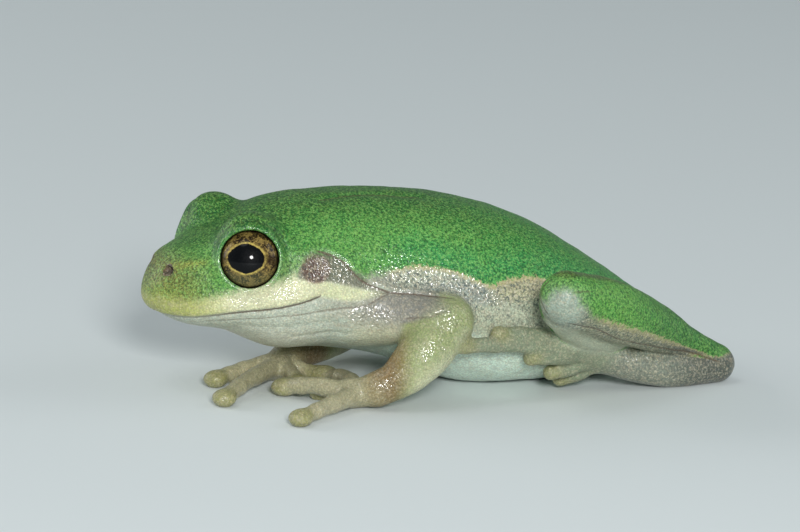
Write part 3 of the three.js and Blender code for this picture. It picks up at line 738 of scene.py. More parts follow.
def layered(base, *layers):
    """One colour with others over it: each layer has its weight at every point, and its colour."""
    colours = np.tile(np.array(base, float), (len(layers[0][0]), 1))
    for weight, colour in layers:
        colours = toward(colours, colour, weight)
    return colours


def band(value, low, high, edge):
    """1 between low and high, 0 outside, over an edge of that width."""
    return smooth((value - low) / edge + 0.5) * smooth((high - value) / edge + 0.5)


FAR = 9.0  # a distance beyond any that matters
# painted shade of the creases
CREASE_SHADE_WIDTH = 0.25  # how far from its line a dark line is at its full darkness
PART_EDGE = 0.14  # how softly the colours of two parts of the body meet


def crease_shade_lines(points, normals, shaded_creases):
    """Distance from the nearest line of painted crease shade, below zero on one side of it, and how dark the
    shade is there.
    """
    best = np.full(len(points), FAR)
    signed = np.full(len(points), FAR)
    amount = np.zeros(len(points))
    for line, darkness in shaded_creases:
        for a, b in zip(line, line[1:]):
            axis = b - a
            offset = points - a
            share = np.clip(offset @ axis / (axis @ axis), 0, 1)
            away = offset - share[:, None] * axis
            distance = np.sqrt((away ** 2).sum(1))
            nearer = distance < best
            side = np.sign((np.cross(axis, normals[nearer]) * away[nearer]).sum(1))
            best[nearer] = distance[nearer]
            signed[nearer] = distance[nearer] * side
            amount[nearer] = darkness
    return signed, amount * smooth(2 - best / CREASE_SHADE_WIDTH)


def part_weights(points):
    """How much each kind of body part a point belongs to."""
    bulges = np.minimum(eye_bulge(points), eye_bulge(mirrored(points, -1)))
    distances = {"trunk": blend(trunk(points), bulges, LID_BLEND)}
    for limbs in LIMBS.values():
        for kind in LIMB_BLEND:
            near = limb(points, limbs[kind], 3)
            distances[kind] = np.minimum(distances.get(kind, near), near)
        for kind, digits, pads in (("hand", limbs["finger"], "pad"), ("foot", limbs["toe"], "toe_pad")):
            for path in digits:
                distances[kind] = np.minimum(distances[kind], limb(points, path, 2))
                pad = ball(points, path[-1][:3], TOE_DISC)
                distances[pads] = np.minimum(distances.get(pads, pad), pad)
    nearest = np.min(list(distances.values()), axis=0)
    weights = {kind: np.exp(-(d - nearest) / PART_EDGE) for kind, d in distances.items()}
    total = sum(weights.values())
    return {kind: w / total for kind, w in weights.items()}


def on_left(points):
    """The points, with those of the right side mirrored to the left."""
    return np.abs(points[0]), points[1], points[2]


def off_eye(points):
    """How far a point is off the middle line of the nearer eye."""
    along, off = seen_along(on_left(points), EYE, EYE_AXIS)
    return np.where(along > 0, off, FAR)


def over_eardrum(points):
    """1 on the nearer eardrum and 0 round it."""
    return smooth(0.5 - ball(on_left(points), TYMPANUM, TYMPANUM_RADIUS) / 0.3)


def trunk_hide(points, normals, green):
    """The colour of the green skin on head and trunk, with shade painted where it faces up, on the crown and
    in the crease over the upper lid.
    """
    _, y, z = points
    ridge = np.hstack((np.array(CANTHUS), np.zeros((len(CANTHUS), 1))))
    off = off_eye(points)
    upper = past(z, EYE[2], 1.2)
    return layered(
        BACK_GREEN,
        # painted shade: the top of the head is darker
        (before(y, 10.5, 5) * past(z, 8.6, 1.6) * 0.9, CROWN_SHADE_GREEN),
        # painted shade where the skin faces up
        (past(normals[2], 0.72, 0.28) * 0.8, UPWARD_SHADE_GREEN),
        (past(y, 16, 10), RUMP_GREEN),
        (band(y, 6.5, 9.5, 2.5) * before(z, 9.6, 1.6) * 0.9, CHEEK_GREEN),
        (past(y, 12.5, 4) * before(green, 2.4, 1.8), EDGE_GREEN),
        (before(y, 4.6, 3.5) * before(z, 9.4, 1.6), SNOUT_OLIVE),
        (before(y, 3.6, 2.8) * before(z, 7.6, 1.5) * 0.8, SNOUT_GOLD),
        (bell(limb(on_left(points), ridge, 2), 0.24) * 0.8, RIDGE_GOLD),
        (before(off, 2.35, 0.3) * upper * 0.9, LID_GREEN),
        (before(off, 1.97, 0.1) * (0.9 - 0.5 * upper), RIM_MINT),
        # painted shade in the crease over the upper lid
        (bell(off - LID_CREASE, 0.1) * upper * 0.8, LID_CREASE_SHADE),
    )


def trunk_flesh(points, normals, pit):
    """The colour of the pale skin on head and trunk, with painted light low on the throat and painted shade
    in the nostril's pit.
    """
    _, y, z = points
    down = -normals[2]
    lip = smooth((z - mouth_height(y)) / 0.2) * before(y, 10.2, 1.0)
    stripe_low = np.interp(y, *zip(*STRIPE_LOW))
    stripe_top = np.interp(y, *zip(*STRIPE_TOP))
    return layered(
        FLANK_GREY,
        (before(y, 15.5, 2.5), CHEST_GREY),
        (before(y, 11.5, 2.5), THROAT_GREY),
        # painted light from below: the lower throat is lighter
        (before(y, 11.5, 2.5) * before(z, 5.0, 1.4), THROAT_LIT_FROM_BELOW),
        (past(down, 0.05, 0.5) * past(y, 8, 6), BELLY_WHITE),
        (band(y, 15.5, 20.5, 2.5) * band(z, 5.9, 7.3, 0.9) * 0.7, ARM_PIT_GREY),
        (band(y, 20.2, 24.2, 1.2) * past(z, 5.6, 1.0) * 0.8, SPOTTED_GOLD),
        (band(z, stripe_low, stripe_top, 0.35) * band(y, 9.0, 13.6, 0.8), STRIPE_CREAM),
        (lip, LIP_CREAM),
        (lip * before(y, 5.2, 3.8) * 0.85, SNOUT_GOLD),
        (smooth((z - stripe_top + 0.1) / 0.25) * band(y, 8.2, 12.4, 0.4), PATCH_BROWN),
        (over_eardrum(points), DRUM_MAROON),
        # the nostril's own reddish brown, with painted shade deep in its pit
        (before(pit, 0.8, 0.1), NOSTRIL_BROWN),
        (before(pit, 0.42, 0.14), NOSTRIL_PIT_SHADE),
    )


def trunk_markings(points, normals):
    """Green amount as a distance, and the colours of green and of pale skin, on head and trunk."""
    _, y, z = points
    green = z - np.interp(y, *zip(*GREEN_EDGE))
    hide = trunk_hide(points, normals, green)
    pit = ball(on_left(points), NOSTRIL, 0)
    return green - 3 * before(pit, 0.56, 0.3), hide, trunk_flesh(points, normals, pit)


KNEE_CAP = 1.1  # radius of the knee's grey cap
KNEE_CAP_SHIFT = (1.45, -0.9, -0.3)  # from the left knee to the middle of its cap


def knee_cap(points):
    """Distance to the nearer knee's grey cap."""
    caps = []
    for name, side in (("left", 1), ("right", -1)):
        knee = np.array(LIMBS[name]["shank"][0][:3])
        shift = np.array(KNEE_CAP_SHIFT) * (side, 1, 1)
        caps.append(ball(points, knee + shift, KNEE_CAP))
    return np.minimum(*caps)


def over_shank(points):
    """Height over the middle line of the nearer shank."""
    left, right = (np.array(LIMBS[name]["shank"]) for name in ("left", "right"))
    on_left_shank = np.interp(points[1], left[:, 1], left[:, 2])
    on_right_shank = np.interp(points[1], right[:, 1], right[:, 2])
    return points[2] - np.where(points[0] > 0, on_left_shank, on_right_shank)


def shank_markings(points, normals):
    """The same on the shanks: green above and outside, grey over the knee's front and below, and browner
    along the top, partly with painted shade.
    """
    y = points[1]
    cap = knee_cap(points)
    green = np.minimum((normals[2] + 0.42 - 0.4 * before(y, 24.6, 1.6)) * 1.6, cap)
    green = np.minimum(green, (over_shank(points) + 1.0) * 1.6)
    hide = layered(
        SHANK_GREEN,
        (past(y, 27, 5), SHANK_REAR_GREEN),
        # partly the shank's own reddish brown, partly painted shade along its top
        (past(normals[2], 0.8, 0.15) * 0.8, SHANK_TOP_BROWN_AND_SHADE),
        (smooth(1 - cap / 1.3) * 0.5, KNEE_GREY),
    )
    flesh = layered(
        SHANK_GREY,
        (past(y, 29, 5), HEEL_GREY),
        (before(y, 24.5, 1.5), KNEE_GREY),
    )
    return green, hide, flesh


def limb_markings(points, normals):
    """The pale colours of arms, hands and feet, and of the pads on their digits, with painted light from
    below under the arms.
    """
    _, y, z = points
    # painted light from below: the arms are lighter where their skin faces down
    below = before(normals[2], 0.3, 0.9) * 0.85
    under_elbow = smooth((5.35 + 0.35 * (y - 14.6) - z) / 0.25) * past(y, 13.9, 0.5)
    upper_arm = layered(
        UPPER_ARM,
        (np.maximum(under_elbow, past(y, 16.2, 0.9)), FOREARM_OLIVE),
        (below, ARM_LIT_FROM_BELOW),
    )
    forearm = layered(
        FOREARM_OLIVE,
        (before(y, 14.4, 1.6), WRIST_TAN),
        (smooth((13.9 + 0.55 * (z - 3.4) - y) / 0.9) * past(z, 1.6, 1.4) * 0.6, FOREARM_RUST),
        (below * past(y, 13.2, 1.5), ARM_LIT_FROM_BELOW),
    )
    tarsus = layered(TARSUS_GREY, (past(y, 31, 4), HEEL_GREY))
    return {
        "upper_arm": upper_arm, "forearm": forearm, "hand": HAND_TAN, "tarsus": tarsus,
        "foot": FOOT_GREY, "pad": PAD_TAN, "toe_pad": TOE_TAN,
    }


def all_markings(points, normals, weights):
    """Green amount and both colours on the whole skin, mixed where two parts meet."""
    parts = {"trunk": trunk_markings(points, normals), "shank": shank_markings(points, normals)}
    for kind, flesh in limb_markings(points, normals).items():
        parts[kind] = -1.0, SHANK_GREEN, flesh
    parts["thigh"] = np.clip((normals[2] + 0.5) * 3, -1, 1), RUMP_GREEN, FLANK_GREY
    totals = [0, 0, 0]
    for kind, (green, hide, flesh) in parts.items():
        weight = weights[kind]
        shares = (weight * np.clip(green, -3, 3), weight[:, None] * hide, weight[:, None] * flesh)
        totals = [total + share for total, share in zip(totals, shares)]
    return totals


def dark_lines(points, normals, shaded_creases, body):
    """Distance from the nearest line of painted shade, in a fold or in the mouth's groove, and how dark it is
    there.
    """
    _, y, z = points
    crease, ink = crease_shade_lines(points.T, normals.T, shaded_creases)
    lips = z - mouth_height(y)
    in_mouth = (np.abs(lips) < np.abs(crease)) & (y < MOUTH_CORNER) & (z < 7)
    fading = 0.4 + 0.6 * past(y, 1.5, 4)
    mouth_shade = body * smooth(2 - np.abs(lips) / CREASE_SHADE_WIDTH) * fading
    return np.where(in_mouth, lips, crease), np.where(in_mouth, mouth_shade, ink)


def pale_contrast(points, normals, weights):
    """How strongly the granules of the pale skin stand out."""
    flank = weights["trunk"] * band(points[1], 13.5, 26, 2.0) * smooth(0.55 + normals[2] * 0.8)
    shank = 0.8 * weights["shank"] * smooth(knee_cap(points) / 0.8)
    return np.maximum.reduce((flank, shank, 0.4 * weights["tarsus"], 0.55 * over_eardrum(points)))


# Where the skin is wettest: x, y, z, reach and amount
WET_PLACES = (
    # the edge of the green and the flank
    (5.6, 14.6, 7.9, 1.5, 1.5), (6.6, 17.0, 7.2, 1.3, 1.5), (6.9, 18.6, 7.0, 1.0, 1.3),
    (6.3, 12.9, 7.3, 0.8, 0.7), (-5.6, 14.6, 7.9, 1.5, 0.9), (-6.6, 17.0, 7.2, 1.5, 0.9),
    # the upper arm, the elbow, the forearm and the wrist
    (6.4, 12.0, 5.4, 0.8, 1.3), (6.7, 12.9, 5.2, 0.9, 1.3), (8.9, 16.6, 5.2, 1.2, 1.5),
    (9.3, 15.6, 3.6, 1.0, 1.3), (8.5, 12.8, 2.0, 0.9, 1.0),
    # the eardrum and the patch behind it
    (5.6, 9.3, 8.3, 1.0, 0.4), (5.7, 10.7, 8.3, 1.0, 1.0), (-5.6, 9.8, 8.3, 1.2, 0.7),
    # below the eye, and the hollow behind the nostril
    (5.5, 7.3, 7.0, 1.0, 0.8), (4.8, 4.9, 6.6, 1.0, 0.8), (-5.2, 6.8, 6.8, 1.2, 0.7),
    (2.05, 2.0, 7.2, 0.3, 1.0),
)


def wetness(points, normals, weights, green):
    """How much the skin shines: 0 where it is dull."""
    y = points[1]
    body = weights["trunk"]
    layers = [
        0.5 * band(off_eye(points), 1.6, 2.0, 0.15),
        0.45 * weights["tarsus"],
        0.3 * (weights["hand"] + weights["pad"]),
        1.4 * body * band(green, -1.2, -0.05, 0.2) * band(y, 13.4, 21, 1.5),
        0.4 * body * smooth(-normals[2] / 0.5) * past(y, 14, 3),
    ]
    for *centre, reach, amount in WET_PLACES:
        layers.append(amount * smooth(1.4 - ball(points, centre, 0) / reach))
    return np.maximum.reduce(layers)


def markings(points, normals, shaded_creases):
    """The attributes that the skin's material reads, point by point."""
    weights = part_weights(points)
    body = weights["trunk"]
    green, hide, flesh = all_markings(points, normals, weights)
    crease, ink = dark_lines(points, normals, shaded_creases, body)
    y = points[1]
    fringe = past(y, 13.4, 1.2) * body + 0.8 * weights["shank"] * past(y, 24.2, 1.2)
    return {
        "green": green, "crease": crease, "ink": ink,
        "pepper": pale_contrast(points, normals, weights), "fringe": fringe,
        "wet": wetness(points, normals, weights, green),
        "hide": linear(hide), "flesh": linear(flesh),
    }


# ---- the skin's mesh
def relaxed(points, quads, passes):
    """Points drawn towards the middle of their neighbours, which takes the lattice's small steps away."""
    start = quads.ravel()
    end = np.roll(quads, -1, axis=1).ravel()
    count = np.bincount(start, minlength=len(points)) + np.bincount(end, minlength=len(points))
    for _ in range(passes):
        middle = np.empty_like(points)
        for k in range(3):
            ahead = np.bincount(start, points[end, k], len(points))
            behind = np.bincount(end, points[start, k], len(points))
            middle[:, k] = (ahead + behind) / count
        points = points + 0.5 * (middle - points)
    return points


# Low waves over the skin: direction with radians per millimetre, and height
WAVES = (
    ((1.3, 2.1, 1.7), 0.008), ((-2.3, 1.2, 2.0), 0.007), ((1.9, -2.6, 2.4), 0.006),
    ((3.4, 1.0, -2.7), 0.007), ((-1.5, 4.1, 3.0), 0.006), ((4.4, 3.1, 1.9), 0.005),
)


def waves(points):
    """A slight unevenness of the skin, lowest on the snout."""
    height = sum(h * np.sin(points @ np.array(d) + 3 * k) for k, (d, h) in enumerate(WAVES))
    return height * (0.5 + 0.5 * past(points[:, 1], 6, 6))


def read_normals(mesh):
    normals = np.empty(len(mesh.vertices) * 3, np.float32)
    mesh.vertices.foreach_get("normal", normals)
    return normals.reshape(-1, 3)


def within_box(points):
    """Points held inside the CAD model's box, the last of the way out squeezed. The floor side stays flat."""
    soft = BOX_EDGE * MM
    low = np.array(CAD_LOW) + soft
    high = np.array(CAD_HIGH) - soft
    low[2] = 0
    points = np.where(points > high, high + soft * np.tanh((points - high) / soft), points)
    return np.where(points < low, low - soft * np.tanh((low - points) / soft), points)


def write_attribute(mesh, name, values):
    """Keeps a number or a colour for each point of a mesh."""
    if values.ndim == 1:
        layer = mesh.attributes.new(name, "FLOAT", "POINT")
        layer.data.foreach_set("value", values.astype(np.float32))
        return
    layer = mesh.attributes.new(name, "FLOAT_COLOR", "POINT")
    opaque = np.hstack((values, np.ones((len(values), 1))))
    layer.data.foreach_set("color", opaque.astype(np.float32).ravel())


def skin_mesh():
    lattice, shaded_creases = build_field()
    points, quads = lattice.surface()
    points = relaxed(points, quads, SMOOTHING)
    mesh = bpy.data.meshes.new("skin")
    mesh.from_pydata(placed(points), [], [tuple(face) for face in quads.tolist()])
    mesh.shade_smooth()
    normals = read_normals(mesh)
    points = points + normals * waves(points)[:, None]
    points[:, 2] = np.maximum(points[:, 2], 0)
    mesh.vertices.foreach_set("co", within_box(placed(points)).astype(np.float32).ravel())
    mesh.update()
    for name, values in markings(points.T, normals.T, shaded_creases).items():
        write_attribute(mesh, name, values)
    return mesh


# ---- materials
class Paint:
    """A material's nodes, made from values and from other nodes' outputs."""

    def __init__(self, name):
        self.material = bpy.data.materials.new(name)
        self.material.use_nodes = True
        self.tree = self.material.node_tree
        self.shader = self.tree.nodes["Principled BSDF"]

    def fill(self, node, inputs):
        for key, value in inputs.items():
            if isinstance(value, bpy.types.NodeSocket):
                self.tree.links.new(value, node.inputs[key])
            else:
                node.inputs[key].default_value = value

    def add(self, kind, inputs, **settings):
        node = self.tree.nodes.new("ShaderNode" + kind)
        for key, value in settings.items():
            setattr(node, key, value)
        self.fill(node, inputs)
        return node

    def read(self, name, output="Fac"):
        return self.add("Attribute", {}, attribute_name=name).outputs[output]

    def math(self, operation, *values):
        return self.add("Math", dict(enumerate(values)), operation=operation).outputs[0]

    def between(self, value, low, high, to_low=0.0, to_high=1.0):
        """An S curve from to_low at low to to_high at high."""
        inputs = {"Value": value, "From Min": low, "From Max": high, "To Min": to_low, "To Max": to_high}
        return self.add("MapRange", inputs, interpolation_type="SMOOTHSTEP").outputs[0]

    def mix(self, factor, a, b):
        return self.add("Mix", {0: factor, 6: a, 7: b}, data_type="RGBA").outputs[2]

    def times(self, *values):
        return self.math("MULTIPLY", *values)

    def power(self, value, exponent):
        return self.math("POWER", value, exponent)

    def absolute(self, value):
        return self.math("ABSOLUTE", value)

    def shifted(self, value, stir, amount):
        """A value moved up and down by what a noise has over or under its middle."""
        return self.math("MULTIPLY_ADD", self.math("SUBTRACT", stir, 0.5), amount, value)

    def layered(self, colour, *layers):
        """A colour with others over it: value, where a layer starts and is full, how much, and its colour."""
        for value, start, full, amount, over in layers:
            colour = self.mix(self.between(value, start, full, 0.0, amount), colour, shade(over))
        return colour

    def place(self):
        """The point's place in millimetres."""
        coordinates = self.add("TexCoord", {}).outputs["Object"]
        return self.add("VectorMath", {0: coordinates, 3: 1000.0}, operation="SCALE").outputs[0]

    def noise(self, place, per_mm, detail=2.0, roughness=0.5):
        inputs = {"Vector": place, "Scale": per_mm, "Detail": detail, "Roughness": roughness}
        return self.add("TexNoise", inputs).outputs["Fac"]

    def cells(self, place, per_mm):
        """Rounded cells: the distance from each one's middle, and three random numbers for each."""
        inputs = {"Vector": place, "Scale": per_mm, "Smoothness": 0.6}
        node = self.add("TexVoronoi", inputs, feature="SMOOTH_F1")
        picks = self.add("SeparateColor", {0: node.outputs["Color"]}).outputs
        return node.outputs["Distance"], picks

    def bump(self, height, depth_mm, normal=None):
        inputs = {"Height": height, "Distance": depth_mm * MM, "Strength": 1.0}
        if normal is not None:
            inputs["Normal"] = normal
        return self.add("Bump", inputs).outputs[0]


def shade(colour):
    return (*linear(colour), 1.0)


# Colours of the granules, 0 to 255
CLOUD_OLIVE = (118, 152, 66)
GRAIN_GOLD = (156, 164, 76)
GRAIN_EMERALD = (24, 140, 66)
# painted highlight on each granule's top, and painted shade between the granules
GRAIN_TOP_HIGHLIGHT = (154, 214, 122)
GRAIN_GAP_SHADE = (20, 62, 26)
MOTTLE_DARK = (18, 62, 26)
MOTTLE_BRIGHT = (142, 192, 104)
BLOTCH_TAN = (140, 136, 112)
PEBBLE_PALE = (228, 212, 178)
PEBBLE_DIM = (96, 88, 84)
# painted shade between the pale granules
PEBBLE_GAP_SHADE = (86, 86, 74)
FLESH_DARK = (92, 90, 82)
FLESH_BRIGHT = (222, 214, 190)
SPECK_GREY = (62, 80, 78)
EDGE_CREAM = (196, 182, 132)
# painted shade in the folds and the mouth's groove; behind the knee partly the skin's own reddish-brown line
CREASE_SHADE_BROWN = (84, 66, 50)

# How many granules there are along a millimetre
GRAINS = 9.0  # of the green skin
PEBBLES = 8.5  # of the pale skin
BEADS = 5.0  # where it is wet


def green_skin(paint, grain, picks, place, mottle):
    """The green skin: granules with a painted highlight on their tops and painted shade between them, and
    some golden or emerald.
    """
    cloud = paint.noise(place, 0.9, 3.0, 0.6)
    return paint.layered(
        paint.read("hide", "Color"),
        (cloud, 0.35, 0.65, 0.2, CLOUD_OLIVE),
        (picks[0], 0.45, 0.8, 0.16, GRAIN_GOLD),
        (picks[1], 0.5, 0.8, 0.28, GRAIN_EMERALD),
        # painted highlight on each granule's top and painted shade in the gaps
        (grain, 0.3, 0.08, 0.16, GRAIN_TOP_HIGHLIGHT),
        (grain, 0.3, 0.52, 0.4, GRAIN_GAP_SHADE),
        (mottle, 0.52, 0.38, 0.76, MOTTLE_DARK),
        (mottle, 0.49, 0.61, 0.52, MOTTLE_BRIGHT),
    )


def pale_skin(paint, pebble, picks, place, mottle):
    """The pale skin: cream and grey granules with painted shade between them, which stand out most on the
    flank, with dark specks there.
    """
    pepper = paint.read("pepper")
    blotch = paint.noise(place, 1.6, 4.0, 0.65)
    flesh = paint.layered(paint.read("flesh", "Color"), (blotch, 0.42, 0.62, 0.2, BLOTCH_TAN))
    layers = (
        (picks[0], 0.5, 0.8, 0.2, 0.34, PEBBLE_PALE),
        (picks[1], 0.5, 0.8, 0.14, 0.3, PEBBLE_DIM),
        # painted shade in the gaps between the granules
        (pebble, 0.32, 0.55, 0.26, 0.45, PEBBLE_GAP_SHADE),
        (mottle, 0.5, 0.36, 0.2, 0.55, FLESH_DARK),
        (mottle, 0.5, 0.64, 0.2, 0.55, FLESH_BRIGHT),
    )
    for value, start, full, least, most, colour in layers:
        amount = paint.between(pepper, 0.0, 1.0, least, most)
        flesh = paint.mix(paint.times(paint.between(value, start, full), amount), flesh, shade(colour))
    specks = paint.noise(place, 6.0, 2.0, 0.5)
    dark = paint.times(paint.between(specks, 0.52, 0.62), pepper)
    return paint.mix(paint.times(dark, 0.75), flesh, shade(SPECK_GREY))


def joined(paint, hide, flesh, ragged):
    """Both skins: their edge is broken on the flank, with a pale line along it, and soft on the head."""
    fringe = paint.read("fringe")
    shift = paint.shifted(paint.read("green"), ragged, paint.between(fringe, 0.0, 1.0, 0.9, 1.0))
    soft = paint.between(shift, -0.35, 0.4)
    hard = paint.between(shift, -0.05, 0.09)
    cover = paint.add("Mix", {0: fringe, 2: soft, 3: hard}, data_type="FLOAT").outputs[0]
    rim = paint.times(paint.between(shift, -0.3, -0.04), paint.between(shift, 0.16, 0.02))
    rim = paint.times(paint.times(rim, fringe), 0.5)
    return paint.mix(rim, paint.mix(cover, flesh, hide), shade(EDGE_CREAM))


def with_folds(paint, colour, ragged):
    """The skin's colour with shade painted in the folds and in the mouth's groove."""
    wavy = paint.shifted(paint.read("crease"), ragged, 0.12)
    line = paint.between(paint.absolute(wavy), 0.1, 0.03, 0.0, 0.8)
    return paint.mix(paint.times(line, paint.read("ink")), colour, shade(CREASE_SHADE_BROWN))


def skin_relief(paint, place, grain, pebble, fine, wet):
    """Each granule is a low dome, and coarser beads stand out where the skin is wet."""
    relief = paint.bump(paint.power(grain, 2.0), -0.03)
    dome = paint.times(paint.power(pebble, 2.0), paint.between(wet, 0.0, 1.0, 1.0, 0.5))
    relief = paint.bump(dome, -0.025, relief)
    bead, _ = paint.cells(place, BEADS)
    relief = paint.bump(paint.times(paint.power(bead, 2.0), wet), -0.06, relief)
    return paint.bump(fine, 0.01, relief)


def skin_material():
    paint = Paint("frog_skin")
    place = paint.place()
    wet = paint.read("wet")
    mottle = paint.noise(place, 6.4, 4.0, 0.8)
    ragged = paint.noise(place, 4.5, 4.0, 0.65)
    fine = paint.noise(place, 14.0, 2.0)
    grain, grain_picks = paint.cells(place, GRAINS)
    pebble, pebble_picks = paint.cells(place, PEBBLES)
    hide = green_skin(paint, grain, grain_picks, place, mottle)
    flesh = pale_skin(paint, pebble, pebble_picks, place, mottle)
    colour = with_folds(paint, joined(paint, hide, flesh, ragged), ragged)
    relief = skin_relief(paint, place, grain, pebble, fine, wet)
    uneven = paint.between(wet, 0.0, 1.0, 0.3, 0.1)
    gloss = paint.math("MULTIPLY_ADD", fine, uneven, paint.between(wet, 0.0, 1.0, 0.3, 0.05))
    paint.fill(paint.shader, {
        "Base Color": colour, "Roughness": gloss, "Normal": relief,
        "Subsurface Weight": 0.12, "Subsurface Radius": (0.9, 0.5, 0.3), "Subsurface Scale": 0.5 * MM,
        "Coat Weight": paint.between(wet, 0.0, 1.0, 0.06, 1.0), "Coat Roughness": 0.1, "Coat Normal": relief,
        "Coat IOR": 1.6, "IOR": 1.4,
    })
    return paint.material


PUPIL = (1.08, 0.88)  # half its length and half its height
PUPIL_SHIFT = 0.2  # how far its middle lies towards the snout
PUPIL_BLACK = (1, 2, 4)
IRIS_BROWN = (28, 18, 10)
IRIS_GOLD = (128, 108, 58)
FLECK_GOLD = (178, 150, 84)
VEIN_BROWN = (34, 24, 16)
IRIS_LOW = (92, 96, 66)
SMUDGE_BROWN = (40, 26, 14)
RING_GOLD = (206, 184, 98)
RIM_BLACK = (14, 10, 7)


def from_pupil(paint, forward, up, marble):
    """1 on the pupil's edge and less inside it. The pupil comes to a slight point at both ends."""
    length, height = PUPIL
    long = paint.power(paint.absolute(paint.math("DIVIDE", forward, length)), 1.7)
    tall = paint.power(paint.absolute(paint.math("DIVIDE", up, height)), 2.0)
    wobble = paint.times(paint.math("SUBTRACT", marble, 0.5), 0.14)
    return paint.math("ADD", paint.power(paint.math("ADD", long, tall), 0.54), wobble)


def eye_material(side):
    """A black oval pupil in a golden ring, a marbled brown iris, and a dark outer ring."""
    paint = Paint("eye_left" if side > 0 else "eye_right")
    place = paint.place()
    across, up, _ = paint.add("SeparateXYZ", {0: place}).outputs
    forward = paint.math("ADD", across, PUPIL_SHIFT * side)
    height = paint.absolute(up)
    off = paint.math("SQRT", paint.math("ADD", paint.power(across, 2.0), paint.power(up, 2.0)))
    marble = paint.noise(place, 2.2, 5.0, 0.7)
    fleck = paint.noise(place, 9.0, 3.0, 0.6)
    vein = paint.noise(place, 5.0, 4.0, 0.7)
    pupil = from_pupil(paint, forward, up, marble)
    iris = paint.mix(paint.between(marble, 0.42, 0.58), shade(IRIS_BROWN), shade(IRIS_GOLD))
    iris = paint.layered(
        iris,
        (fleck, 0.5, 0.64, 0.6, FLECK_GOLD),
        (vein, 0.5, 0.62, 0.75, VEIN_BROWN),
        (up, -0.4, -1.3, 0.45, IRIS_LOW),
    )
    smudge = paint.between(paint.absolute(forward), 1.05, 1.4, 0.0, 0.8)
    level = paint.between(height, 0.15, 0.5, 1.0, 0.0)
    iris = paint.mix(paint.times(smudge, level), iris, shade(SMUDGE_BROWN))
    ring = paint.times(paint.between(pupil, 0.99, 1.03), paint.between(pupil, 1.19, 1.05))
    ring = paint.times(ring, paint.between(height, 0.1, 0.6, 0.35, 1.0))
    patchy = paint.between(vein, 0.38, 0.56, 1.0, 0.45)
    iris = paint.mix(paint.times(ring, patchy), iris, shade(RING_GOLD))
    iris = paint.layered(iris, (off, 1.54, 1.7, 1.0, RIM_BLACK))
    colour = paint.mix(paint.between(pupil, 0.97, 1.02), shade(PUPIL_BLACK), iris)
    paint.fill(paint.shader, {
        "Base Color": colour, "Roughness": 0.4, "Specular IOR Level": 0.05, "Normal": paint.bump(fleck, 0.03),
        "Coat Weight": 0.7, "Coat Roughness": 0.03, "Coat IOR": 1.32,
    })
    return paint.material


# ---- pieces
def add_object(name, data):
    ob = bpy.data.objects.new(name, data)
    bpy.context.scene.collection.objects.link(ob)
    return ob


def put(name, mesh, material):
    mesh.materials.append(material)
    return add_object(name, mesh)


def make_skin():
    skin = put("skin", skin_mesh(), skin_material())
    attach(skin, "root")
    flesh = [node for node in frame["nodes"] if not node.startswith("eye_")]
    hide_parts(*flesh)


def make_eye(label, side):
    """An eyeball whose own Z points out of the head and whose own Y points up."""
    mesh = bpy.data.meshes.new("eyeball_" + label)
    bm = bmesh.new()
    bmesh.ops.create_uvsphere(bm, u_segments=96, v_segments=64, radius=EYE_RADIUS * MM)
    bm.to_mesh(mesh)
    bm.free()
    mesh.shade_smooth()
    ob = put("eyeball_" + label, mesh, eye_material(side))
    out = Vector(EYE_AXIS * (side, 1, 1)).normalized()
    across = Vector((0, 0, 1)).cross(out).normalized()
    turn = Matrix((across, out.cross(across), out)).transposed().to_4x4()
    ob.matrix_world = Matrix.Translation(placed(EYE * (side, 1, 1))) @ turn
    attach(ob, "root")
    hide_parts("eye_" + label)


make_skin()
for label, side in (("left", 1), ("right", -1)):
    make_eye(label, side)

# ---- stage
FLOOR_COLOUR = (220, 227, 227)
FLOOR_ROUGHNESS = 0.8
FLOOR_HALF = 2  # half its width, in metres
SKY_COLOUR = (222, 234, 240)
SKY_STRENGTH = 0.31
LAMP_AIM = (0, 0, 0.005)
# The lamps are discs: name, place, width and power
LAMPS = (
    ("flash", (0.358, -0.106, 0.145), 0.08, 1.3),
    ("key", (0.05, -0.20, 0.48), 0.25, 0.26),
    ("fill_front", (-0.26, -0.30, 0.14), 0.30, 0.6),
    ("fill_back", (0.10, 0.40, 0.20), 0.30, 0.32),
)


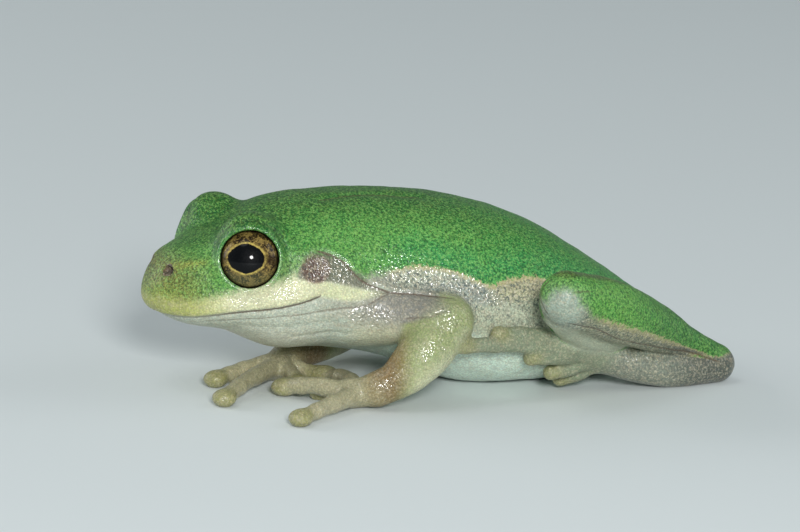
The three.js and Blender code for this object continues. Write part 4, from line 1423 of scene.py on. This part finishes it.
def make_floor():
    paint = Paint("floor")
    paint.fill(paint.shader, {"Base Color": shade(FLOOR_COLOUR), "Roughness": FLOOR_ROUGHNESS})
    corners = [(x * FLOOR_HALF, y * FLOOR_HALF, 0) for x, y in ((-1, -1), (1, -1), (1, 1), (-1, 1))]
    mesh = bpy.data.meshes.new("floor")
    mesh.from_pydata(corners, [], [(0, 1, 2, 3)])
    floor = put("floor", mesh, paint.material)


def make_lights():
    for name, place, width, power in LAMPS:
        data = bpy.data.lights.new(name, "AREA")
        data.shape = "DISK"
        data.size = width
        data.energy = power
        ob = add_object(name, data)
        ob.location = place
        ob.rotation_euler = (Vector(LAMP_AIM) - Vector(place)).to_track_quat("-Z", "Y").to_euler()
    world = bpy.data.worlds.new("studio")
    world.use_nodes = True
    background = world.node_tree.nodes["Background"]
    background.inputs["Color"].default_value = shade(SKY_COLOUR)
    background.inputs["Strength"].default_value = SKY_STRENGTH
    bpy.context.scene.world = world


make_floor()
make_lights()
bpy.context.scene.view_settings.view_transform = "Standard"

# ---- camera
CAMERA_AZIMUTH = 66.55  # degrees from straight ahead of the frog towards its left
CAMERA_ELEVATION = 11.96
CAMERA_ROLL = 2.28
CAMERA_DISTANCE = 300.0
CAMERA_LENS = 220.2
SENSOR_WIDTH = 36
AIM = (0.0, 16.0, 4.0)  # what the camera turns round
AIM_OFFSET = (1.105, 2.88)  # how far AIM lies from the picture's middle: to the left, and down


def make_camera():
    azimuth = math.radians(CAMERA_AZIMUTH)
    elevation = math.radians(CAMERA_ELEVATION)
    level = math.cos(elevation)
    back = Vector((math.sin(azimuth) * level, -math.cos(azimuth) * level, math.sin(elevation)))
    roll = Matrix.Rotation(math.radians(CAMERA_ROLL), 3, "Z").to_quaternion()
    turn = (-back).to_track_quat("-Z", "Y") @ roll
    data = bpy.data.cameras.new("camera")
    data.lens = CAMERA_LENS
    data.sensor_width = SENSOR_WIDTH
    data.clip_start, data.clip_end = 0.01, 10
    ob = add_object("camera", data)
    ob.rotation_mode = "QUATERNION"
    ob.rotation_quaternion = turn
    offset = turn @ Vector((*AIM_OFFSET, 0)) * MM
    ob.location = Vector(placed(AIM)) + back * CAMERA_DISTANCE * MM + offset
    bpy.context.scene.camera = ob


make_camera()
